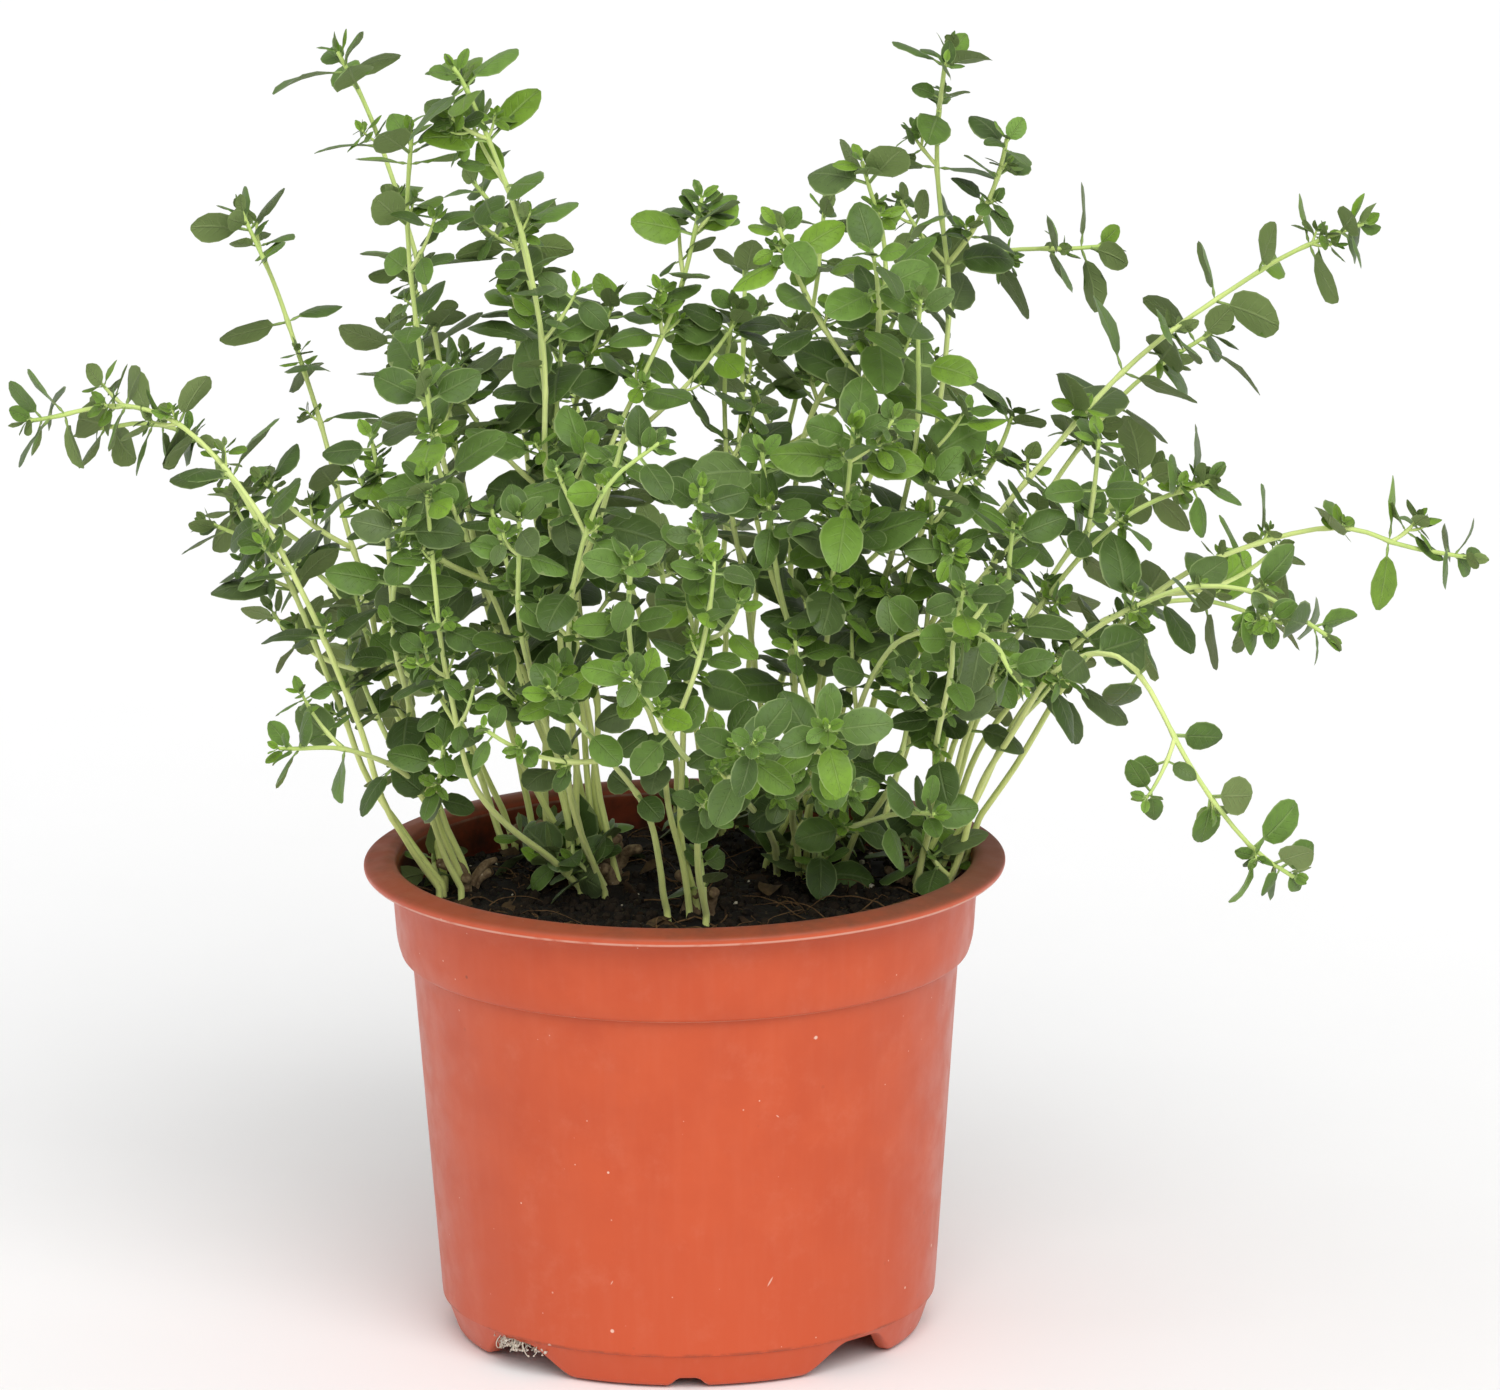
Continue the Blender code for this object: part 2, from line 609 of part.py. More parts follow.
def main():
    clear_scene()
    scene = bpy.context.scene
    parts = new_collection(COLLECTION_NAME, scene.collection)
    cutters = new_collection("cutters", scene.collection)
    pot = build_pot(parts, cutters, plain_material("terracotta_plastic", (0.66, 0.13, 0.05), 0.45))
    soil = build_soil(parts, plain_material("peat", (0.012, 0.008, 0.005), 0.95))
    build_sprigs([pot, soil], parts, plain_material("thyme_green", (0.09, 0.16, 0.03), 0.6))


main()
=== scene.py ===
"""The looks of a potted lemon thyme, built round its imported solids.

The frame holds one solid for the pot, one for the potting soil and one for each rooted sprig. Each
of them is replaced, in its own place, by finely made pieces: a turned pot with moulded feet, a
crumbly soil, and for each sprig a downy square stem and its opposite pairs of leaves.
Lengths are written in millimetres and multiplied by MM where they reach Blender.
"""

from __future__ import annotations

import logging
import math
from dataclasses import dataclass, field
from enum import Enum

import bpy
import numpy as np
from mathutils import Matrix, Vector

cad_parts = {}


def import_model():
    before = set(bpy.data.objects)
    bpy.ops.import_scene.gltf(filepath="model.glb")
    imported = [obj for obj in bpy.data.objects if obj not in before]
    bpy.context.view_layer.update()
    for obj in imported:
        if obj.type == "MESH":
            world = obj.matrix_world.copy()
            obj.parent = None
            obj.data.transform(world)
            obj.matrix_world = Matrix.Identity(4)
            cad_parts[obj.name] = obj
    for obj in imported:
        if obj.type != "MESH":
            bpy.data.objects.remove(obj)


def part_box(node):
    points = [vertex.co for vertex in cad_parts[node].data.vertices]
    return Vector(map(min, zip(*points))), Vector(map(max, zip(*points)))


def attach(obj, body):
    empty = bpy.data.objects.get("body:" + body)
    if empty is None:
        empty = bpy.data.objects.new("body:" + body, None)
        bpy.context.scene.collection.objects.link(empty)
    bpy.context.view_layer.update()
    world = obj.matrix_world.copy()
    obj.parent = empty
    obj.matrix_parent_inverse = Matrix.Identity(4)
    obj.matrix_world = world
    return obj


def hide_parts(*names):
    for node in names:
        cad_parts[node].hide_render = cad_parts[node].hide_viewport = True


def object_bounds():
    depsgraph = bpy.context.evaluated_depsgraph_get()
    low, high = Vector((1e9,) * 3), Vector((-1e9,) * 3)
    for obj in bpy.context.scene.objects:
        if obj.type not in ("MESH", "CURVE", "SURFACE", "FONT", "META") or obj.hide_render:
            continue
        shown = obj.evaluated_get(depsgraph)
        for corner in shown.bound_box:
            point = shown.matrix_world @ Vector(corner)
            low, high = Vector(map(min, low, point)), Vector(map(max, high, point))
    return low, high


MM = 0.001
BODY = "root"
GOLDEN_ANGLE = math.pi * (3.0 - math.sqrt(5.0))
UP = np.array([0.0, 0.0, 1.0])

Array = np.ndarray
Color = tuple[float, float, float]
Finishes = dict[str, bpy.types.Material]

log = logging.getLogger("lemon_thyme")


# Shared geometry

NOISE_CELLS = 32  # cubes along each side before the noise repeats
NOISE_SHIFT = 1000.5  # keeps the places positive
EVEN_SMOOTH = 180.0  # no edge is sharp


def unit(vectors: Array) -> Array:
    """Vectors divided by their lengths, along the last axis."""
    return vectors / (np.linalg.norm(vectors, axis=-1, keepdims=True) + 1e-12)


def square_to(vectors: Array, axis: Array) -> Array:
    """The unit part of each vector that is square to its axis."""
    return unit(vectors - axis * np.sum(vectors * axis, axis=-1, keepdims=True))


def smooth_step(value: Array, low: float, high: float) -> Array:
    """0 below low, 1 above high, and the cubic 3x^2 - 2x^3 between."""
    x = np.clip((value - low) / (high - low), 0.0, 1.0)
    return x * x * (3.0 - 2.0 * x)


def value_noise(points: Array, cell: float, seed: int) -> Array:
    """Smooth noise from -1 to 1: random values at the corners of cubes of the given size, blended
    between by smooth steps along each axis.

    Args:
        points: The places, in millimetres, of shape (..., 3).
        cell: The side of a cube, in millimetres.
        seed: Which random values are used.

    Returns:
        One value for each point.
    """
    table = np.random.default_rng(seed).uniform(-1.0, 1.0, (NOISE_CELLS,) * 3)
    scaled = points / cell + NOISE_SHIFT
    low = np.floor(scaled).astype(int)
    share = scaled - low
    share = share * share * (3.0 - 2.0 * share)
    total = np.zeros(points.shape[:-1])
    for corner in np.ndindex(2, 2, 2):
        index = (low + np.array(corner)) % NOISE_CELLS
        weight = np.prod(np.where(np.array(corner) == 1, share, 1.0 - share), axis=-1)
        total += weight * table[index[..., 0], index[..., 1], index[..., 2]]
    return total


def layered_noise(points: Array, cell: float, seed: int, layers: int) -> Array:
    """A sum of noises, each with half the cell and half the height of the one before."""
    return sum(value_noise(points, cell / 2**n, seed + n) / 2**n for n in range(layers))


class PieceMesh:
    """Gathers the points and faces of one piece, with a UV pair for each corner of a face and named
    values for each face."""

    def __init__(self, axis: Array) -> None:
        """Starts with no points. They are given from the pot's axis, which stands at this place."""
        self.axis = axis
        self.points: list[Array] = []
        self.faces: list[Array] = []
        self.uvs: list[Array] = []
        self.values: dict[str, list[Array]] = {}
        self.count = 0

    def add_points(self, points: Array) -> int:
        """Adds points in millimetres and returns the index of the first of them."""
        first = self.count
        self.points.append(points.reshape(-1, 3))
        self.count += len(self.points[-1])
        return first

    def add_faces(self, faces: Array, uv: Array | None = None, **values: Array | float) -> None:
        """Adds faces that all have the same number of corners.

        Args:
            faces: Point indices, of shape (faces, corners).
            uv: UV pairs, of shape (faces, corners, 2), or None where no pattern needs them.
            values: One number for each face, or one for all, by attribute name.
        """
        self.faces.append(faces)
        self.uvs.append(np.zeros((*faces.shape, 2)) if uv is None else uv)
        for name, value in values.items():
            self.values.setdefault(name, []).append(np.broadcast_to(value, len(faces)))

    def to_object(
        self, name: str, material: bpy.types.Material, sharp: float = EVEN_SMOOTH
    ) -> bpy.types.Object:
        """Makes the mesh and its object at the origin.

        Args:
            name: The piece's name.
            material: The finish of all its faces.
            sharp: Edges bent by more than this many degrees stay sharp.

        Returns:
            The new object, linked to the scene.
        """
        mesh = bpy.data.meshes.new(name)
        points = (np.concatenate(self.points) + self.axis) * MM
        corners = np.concatenate([faces.ravel() for faces in self.faces])
        sizes = np.concatenate([np.full(len(faces), faces.shape[1]) for faces in self.faces])
        mesh.vertices.add(len(points))
        mesh.vertices.foreach_set("co", points.astype(np.float32).ravel())
        mesh.loops.add(len(corners))
        mesh.loops.foreach_set("vertex_index", corners.astype(np.int32))
        mesh.polygons.add(len(sizes))
        mesh.polygons.foreach_set("loop_start", (np.cumsum(sizes) - sizes).astype(np.int32))
        mesh.update(calc_edges=True)
        layer = mesh.uv_layers.new(name="UVMap")
        uvs = np.concatenate([uv.reshape(-1, 2) for uv in self.uvs])
        layer.uv.foreach_set("vector", uvs.astype(np.float32).ravel())
        for key, parts in self.values.items():
            attribute = mesh.attributes.new(key, "FLOAT", "FACE")
            attribute.data.foreach_set("value", np.concatenate(parts).astype(np.float32))
        mesh.shade_smooth()
        if sharp < EVEN_SMOOTH:
            mesh.set_sharp_from_angle(angle=math.radians(sharp))
        mesh.materials.append(material)
        made = bpy.data.objects.new(name, mesh)
        bpy.context.scene.collection.objects.link(made)
        return made


def grid_faces(rows: int, columns: int, wrap: bool) -> Array:
    """The quads of a grid of points, rows by columns, closed round its rows where wrap is set. A
    quad's corners run along the rows first, so its normal is row direction x column direction."""
    last = columns if wrap else columns - 1
    i, j = np.meshgrid(np.arange(rows - 1), np.arange(last), indexing="ij")
    after = (j + 1) % columns
    quads = [i * columns + j, (i + 1) * columns + j, (i + 1) * columns + after, i * columns + after]
    return np.stack(quads, axis=-1).reshape(-1, 4)


def fan_faces(pole: int, ring: Array, forwards: bool) -> Array:
    """Triangles from a pole to a ring of point indices."""
    after = np.roll(ring, -1)
    first, second = (ring, after) if forwards else (after, ring)
    return np.stack([np.full(len(ring), pole), first, second], axis=-1)


def distances(path: Array) -> Array:
    """How far along a path each of its points is."""
    return np.concatenate([[0.0], np.cumsum(np.linalg.norm(np.diff(path, axis=0), axis=1))])


def resample(curve: Array, count: int) -> Array:
    """Evenly spaced points along a polyline.

    Args:
        curve: The polyline, of shape (points, 3).
        count: How many points are wanted.

    Returns:
        The new points.
    """
    along = distances(curve)
    wanted = np.linspace(0.0, along[-1], count)
    return np.stack([np.interp(wanted, along, curve[:, axis]) for axis in range(3)], axis=1)


def path_frames(path: Array) -> tuple[Array, Array, Array]:
    """Directions along a path, and two sides square to it and to each other. The first side is square
    to the direction and as near as it can be to the normal of the plane that fits the path best, so
    it never twists along the path.

    Args:
        path: Points of shape (count, 3).

    Returns:
        The directions and the two sides, each of shape (count, 3).
    """
    direction = unit(np.gradient(path, axis=0))
    _, _, axes = np.linalg.svd(path - path.mean(axis=0))
    normal = axes[2] * np.sign(axes[2][np.argmax(np.abs(axes[2]))])
    side = square_to(np.broadcast_to(normal, path.shape), direction)
    return direction, side, np.cross(direction, side)


@dataclass(frozen=True)
class TubeShape:
    """The section of a stem, root or fibre: a circle, or a square with round corners.

    A point at angle a is at half / (|cos a|^p + |sin a|^p)^(1/p) from the middle. With p = 2 that
    is a circle, and a larger p makes it squarer.
    """

    sides: int = 8
    power: float = 2.0
    pole_share: float = 0.4  # how far the poles stand out, as a share of the half width

    def section(self) -> Array:
        """Points round the section, of half width 1, of shape (sides, 2)."""
        angle = (np.arange(self.sides) + 0.5) * 2.0 * math.pi / self.sides
        cos, sin = np.cos(angle), np.sin(angle)
        radius = (np.abs(cos) ** self.power + np.abs(sin) ** self.power) ** (-1.0 / self.power)
        return np.stack([cos * radius, sin * radius], axis=-1)

    def add(self, mesh: PieceMesh, path: Array, half: Array, turn: float, **values: Array | float) -> None:
        """Adds a tube along a path, closed by a pole at each end.

        Args:
            mesh: The piece that the tube belongs to.
            path: Points of shape (count, 3), in millimetres.
            half: Half widths along the path, of shape (count,).
            turn: Angle of the section about the path, in radians.
            values: Face values, each one number or one for each stretch of the path.
        """
        direction, side, other = path_frames(path)
        first = side * math.cos(turn) + other * math.sin(turn)
        second = other * math.cos(turn) - side * math.sin(turn)
        section = self.section()
        rings = path[:, None] + half[:, None, None] * (
            first[:, None] * section[None, :, :1] + second[:, None] * section[None, :, 1:]
        )
        count = len(path)
        start = mesh.add_points(rings)
        low = mesh.add_points(path[:1] - direction[:1] * half[0] * self.pole_share)
        high = mesh.add_points(path[-1:] + direction[-1:] * half[-1] * self.pole_share)
        quads = grid_faces(count, self.sides, True)[:, ::-1] + start
        along = distances(path)
        row, column = np.divmod(np.arange((count - 1) * self.sides), self.sides)
        u = along[np.stack([row, row + 1, row + 1, row], axis=-1)]
        v = np.stack([column + 1, column + 1, column, column], axis=-1) / self.sides
        uv = np.stack([u, v], axis=-1)
        spread = {k: np.repeat(v, self.sides) if np.ndim(v) else v for k, v in values.items()}
        mesh.add_faces(quads, uv, **spread)
        ends = {k: (v[0], v[-1]) if np.ndim(v) else (v, v) for k, v in values.items()}
        ring = np.arange(self.sides)
        mesh.add_faces(fan_faces(low, start + ring, False), **{k: v[0] for k, v in ends.items()})
        top = start + (count - 1) * self.sides + ring
        mesh.add_faces(fan_faces(high, top, True), **{k: v[1] for k, v in ends.items()})


# The plan of the plant, in millimetres from the pot's axis


class Side(Enum):
    """The side of the plant that a sprig leans to, as its solid's name says it."""

    LEFT = "left"
    MIDDLE = "middle"
    FRONT = "front"
    RIGHT = "right"
    BACK = "back"


CROWNS: dict[str, tuple[float, float]] = {
    "centre": (-14.0, 2.0),
    "left": (-40.0, 2.0),
    "right": (21.0, 17.0),
    "far_right": (43.0, 6.0),
    "front": (2.0, -17.0),
    "back": (4.0, 34.0),
    "back_left": (-28.0, 25.0),
}
LEAF_VIGOUR: dict[Side, float] = {
    Side.LEFT: 1.0,
    Side.MIDDLE: 1.16,
    Side.FRONT: 0.82,
    Side.RIGHT: 1.02,
    Side.BACK: 0.95,
}

# Each sprig: the side it leans to, the crown it is rooted in, and the points it passes after its foot
SPRIGS: list[tuple[Side, str, list[tuple[float, float, float]]]] = [
    (Side.LEFT, "left",
     [(-57, -9, 102), (-62, -14, 126), (-74, -14, 154), (-89, -9, 173), (-104, -3, 178), (-121, 0, 175)]),
    (Side.LEFT, "left",
     [(-56, 4, 100), (-65, 0, 121), (-74, 0, 145), (-86, 4, 166), (-98, 9, 172), (-110, 13, 170)]),
    (Side.LEFT, "left", [(-55, 14, 120), (-63, 25, 150), (-73, 32, 184), (-82, 37, 207)]),
    (Side.LEFT, "left", [(-50, -6, 116), (-53, -27, 142), (-50, -46, 166)]),
    (Side.LEFT, "left", [(-51, 12, 116), (-68, 24, 138), (-90, 30, 148)]),
    (Side.LEFT, "left", [(-49, -12, 103), (-61, -25, 116), (-74, -33, 120)]),
    (Side.MIDDLE, "centre",
     [(-32, 12, 116), (-41, 20, 160), (-49, 26, 200), (-57, 30, 224), (-65, 32, 241)]),
    (Side.MIDDLE, "centre", [(-27, 0, 116), (-42, -3, 162), (-49, -8, 200), (-48, -12, 234)]),
    (Side.MIDDLE, "centre",
     [(-21, -6, 122), (-24, -15, 165), (-26, -23, 206), (-36, -29, 238), (-42, -31, 249)]),
    (Side.MIDDLE, "centre", [(-18, 8, 120), (-22, 16, 165), (-30, 21, 200), (-41, 22, 217)]),
    (Side.MIDDLE, "centre", [(-20, -6, 136), (-12, -9, 172), (0, -8, 200), (5, -8, 220)]),
    (Side.MIDDLE, "centre", [(-24, 13, 145), (-18, 17, 178), (-11, 17, 196)]),
    (Side.MIDDLE, "centre", [(-31, -12, 130), (-42, -28, 165), (-46, -38, 192)]),
    (Side.MIDDLE, "centre", [(-20, 3, 130), (-23, 2, 165), (-22, -2, 192)]),
    (Side.MIDDLE, "right", [(21, -8, 118), (18, -24, 150), (15, -34, 177)]),
    (Side.MIDDLE, "right", [(25, -8, 125), (29, -30, 158), (31, -47, 184)]),
    (Side.MIDDLE, "right", [(13, 10, 130), (8, 6, 168), (11, 2, 197)]),
    (Side.FRONT, "front", [(0, -30, 125), (3, -50, 152), (4, -62, 174)]),
    (Side.FRONT, "centre", [(-20, -28, 112), (-20, -50, 150), (-14, -60, 172), (-3, -62, 182)]),
    (Side.FRONT, "front", [(-4, -36, 115), (-9, -59, 145), (-9, -77, 166)]),
    (Side.FRONT, "centre", [(-24, -20, 115), (-29, -44, 145), (-29, -62, 170)]),
    (Side.FRONT, "centre", [(-31, -20, 101), (-40, -32, 118), (-44, -41, 148), (-45, -45, 174)]),
    (Side.FRONT, "front", [(-8, -35, 110), (-18, -54, 128), (-24, -66, 139)]),
    (Side.FRONT, "right", [(14, -17, 105), (4, -43, 118), (-4, -62, 132), (-9, -76, 144)]),
    (Side.FRONT, "front", [(4, -40, 108), (10, -66, 124), (13, -88, 134)]),
    (Side.FRONT, "right", [(22, -20, 105), (25, -52, 122), (26, -80, 135)]),
    (Side.FRONT, "right",
     [(24, -4, 102), (32, -20, 122), (40, -40, 141), (53, -56, 146), (62, -64, 138)]),
    (Side.FRONT, "far_right", [(46, -20, 112), (50, -46, 138), (51, -66, 157)]),
    (Side.FRONT, "far_right", [(50, -10, 108), (58, -20, 132), (61, -32, 161)]),
    (Side.FRONT, "right", [(28, -8, 96), (36, -22, 101), (46, -36, 104)]),
    (Side.RIGHT, "right", [(37, 16, 120), (46, 14, 155), (50, 12, 195), (48, 11, 222), (50, 10, 242)]),
    (Side.RIGHT, "right", [(28, 4, 134), (33, -8, 172), (38, -14, 204), (34, -16, 225)]),
    (Side.RIGHT, "right", [(20, 28, 120), (23, 34, 160), (37, 39, 184), (58, 42, 196), (80, 44, 197)]),
    (Side.RIGHT, "right",
     [(37, 13, 112), (56, 9, 148), (84, 10, 181), (108, 13, 198), (127, 14, 207)]),
    (Side.RIGHT, "far_right", [(54, 22, 118), (66, 32, 148), (84, 38, 170), (101, 41, 181)]),
    (Side.RIGHT, "far_right", [(53, -3, 116), (66, -10, 140), (82, -15, 158), (98, -18, 166)]),
    (Side.RIGHT, "far_right",
     [(61, 3, 108), (76, 0, 129), (97, -3, 146), (120, -5, 153), (134, -5, 149), (146, -4, 147)]),
    (Side.RIGHT, "far_right",
     [(58, -8, 112), (71, -18, 133), (88, -29, 147), (104, -34, 148), (118, -36, 140)]),
    (Side.RIGHT, "far_right",
     [(58, -13, 111), (69, -30, 132), (81, -43, 137), (92, -51, 120), (102, -54, 104), (110, -55, 98)]),
    (Side.RIGHT, "far_right", [(57, 13, 109), (75, 21, 127), (95, 26, 132), (113, 27, 127)]),
    (Side.RIGHT, "right", [(34, -2, 130), (43, -20, 172), (44, -34, 203)]),
    (Side.RIGHT, "right", [(40, -2, 110), (45, -13, 138), (46, -23, 168)]),
    (Side.BACK, "back", [(6, 50, 120), (11, 69, 160), (12, 82, 188)]),
    (Side.BACK, "back", [(-8, 52, 122), (-18, 74, 153), (-26, 87, 174)]),
    (Side.BACK, "back", [(20, 52, 118), (36, 72, 146), (50, 85, 163)]),
    (Side.BACK, "back", [(0, 51, 112), (-4, 72, 126), (-6, 90, 132)]),
    (Side.BACK, "back", [(14, 42, 130), (22, 50, 170), (28, 56, 203)]),
    (Side.BACK, "back_left", [(-34, 42, 120), (-46, 60, 153), (-56, 72, 177)]),
    (Side.BACK, "back_left", [(-47, 40, 112), (-68, 55, 134), (-86, 63, 146)]),
    (Side.BACK, "back_left", [(-26, 37, 130), (-31, 48, 170), (-30, 54, 203)]),
    (Side.BACK, "back_left", [(-43, 44, 104), (-56, 64, 111), (-64, 80, 108)]),
    (Side.BACK, "far_right", [(56, 26, 112), (74, 45, 138), (90, 59, 150)]),
]


@dataclass(frozen=True)
class SoilLine:
    """Height of the soil: level in the middle, falling a little towards the wall."""

    middle: float = 85.0
    edge: float = 82.6
    fall_start: float = 40.0
    edge_radius: float = 52.9

    def height(self, radius: Array | float) -> Array | float:
        """Height at a distance from the pot's axis."""
        fall = np.clip(radius - self.fall_start, 0.0, None) / (self.edge_radius - self.fall_start)
        return self.middle + (self.edge - self.middle) * fall


@dataclass(frozen=True)
class StemPlan:
    """How the stems run from their crowns through the points of SPRIGS, clear of each other."""

    soil: SoilLine
    foot_lean: float = 0.25
    samples_per_piece: int = 12
    samples: int = 28
    spacing: float = 4.0
    spacing_tip: float = 3.0
    rounds: int = 90
    share: float = 0.35
    reach: int = 2
    foot_reach: float = 49.5
    foot_gap: float = 0.35

    def smooth(self, points: Array, count: int) -> Array:
        """Evenly spaced samples of the Catmull-Rom curve through the points."""
        ends = np.vstack([2 * points[0] - points[1], points, 2 * points[-1] - points[-2]])
        t = np.linspace(0.0, 1.0, self.samples_per_piece, endpoint=False)[:, None]
        pieces = []
        for a, b, c, d in zip(ends, ends[1:], ends[2:], ends[3:]):
            square = 2 * a - 5 * b + 4 * c - d
            cube = 3 * b - a - 3 * c + d
            pieces.append((2 * b + (c - a) * t + square * t**2 + cube * t**3) / 2)
        curve = np.vstack([*pieces, points[-1:]])
        return resample(curve, count)

    def foot(self, crown: str, first_point: Array) -> Array:
        """A stem's foot: beside its crown's middle, on the side that the stem leans to."""
        middle = np.array(CROWNS[crown])
        place = middle + (first_point[:2] - middle) * self.foot_lean
        return np.array([*place, self.soil.height(float(np.hypot(*place))) + self.foot_gap])

    def spread(self, routes: Array) -> Array:
        """Moves stems that pass too close apart, a little at a time, with their feet on the soil."""
        stems, samples, _ = routes.shape
        owner = np.repeat(np.arange(stems), samples)
        height = np.tile(np.linspace(0.0, 1.0, samples), stems)
        spacing = self.spacing + (self.spacing_tip - self.spacing) * height
        wanted = (spacing[:, None] + spacing[None, :]) / 2
        wanted[owner[:, None] == owner[None, :]] = 0.0
        window = 2 * self.reach + 1
        for _ in range(self.rounds):
            flat = routes.reshape(-1, 3)
            apart = flat[:, None] - flat[None, :]
            distance = np.linalg.norm(apart, axis=2) + 1e-6
            lack = np.clip(wanted - distance, 0.0, None)
            push = (apart * (lack / distance)[:, :, None]).sum(axis=1) * self.share
            push = push.reshape(stems, samples, 3)
            padded = np.pad(push, ((0, 0), (self.reach, self.reach), (0, 0)), mode="edge")
            push = sum(padded[:, shift : shift + samples] for shift in range(window)) * 2 / window
            push[:, 0, 2] = 0.0
            routes = routes + push
            radius = np.linalg.norm(routes[:, 0, :2], axis=1)
            routes[:, 0, :2] *= np.minimum(1.0, self.foot_reach / radius)[:, None]
        return routes

    def routes(self) -> Array:
        """The stems' centre lines, of shape (stems, samples, 3)."""
        made = []
        for _, crown, points in SPRIGS:
            through = np.array(points, float)
            made.append(self.smooth(np.vstack([self.foot(crown, through[0]), through]), self.samples))
        return self.spread(np.array(made))


# Leaves


NUMBERS = ("length", "width", "droop", "fold", "twist", "age", "chance")


@dataclass
class LeafBatch:
    """Leaves to be made. A leaf's place has three rows: where it starts, which way it grows and which
    way its face looks. Its numbers follow the order of NUMBERS. Lengths are in millimetres."""

    places: list[Array] = field(default_factory=list)
    numbers: list[list[float]] = field(default_factory=list)

    def add(self, root: Array, out: Array, up: Array, **numbers: float) -> None:
        """Adds one leaf, by the rows of its place and its numbers."""
        self.places.append(np.stack([root, out, up]))
        self.numbers.append([numbers[name] for name in NUMBERS])


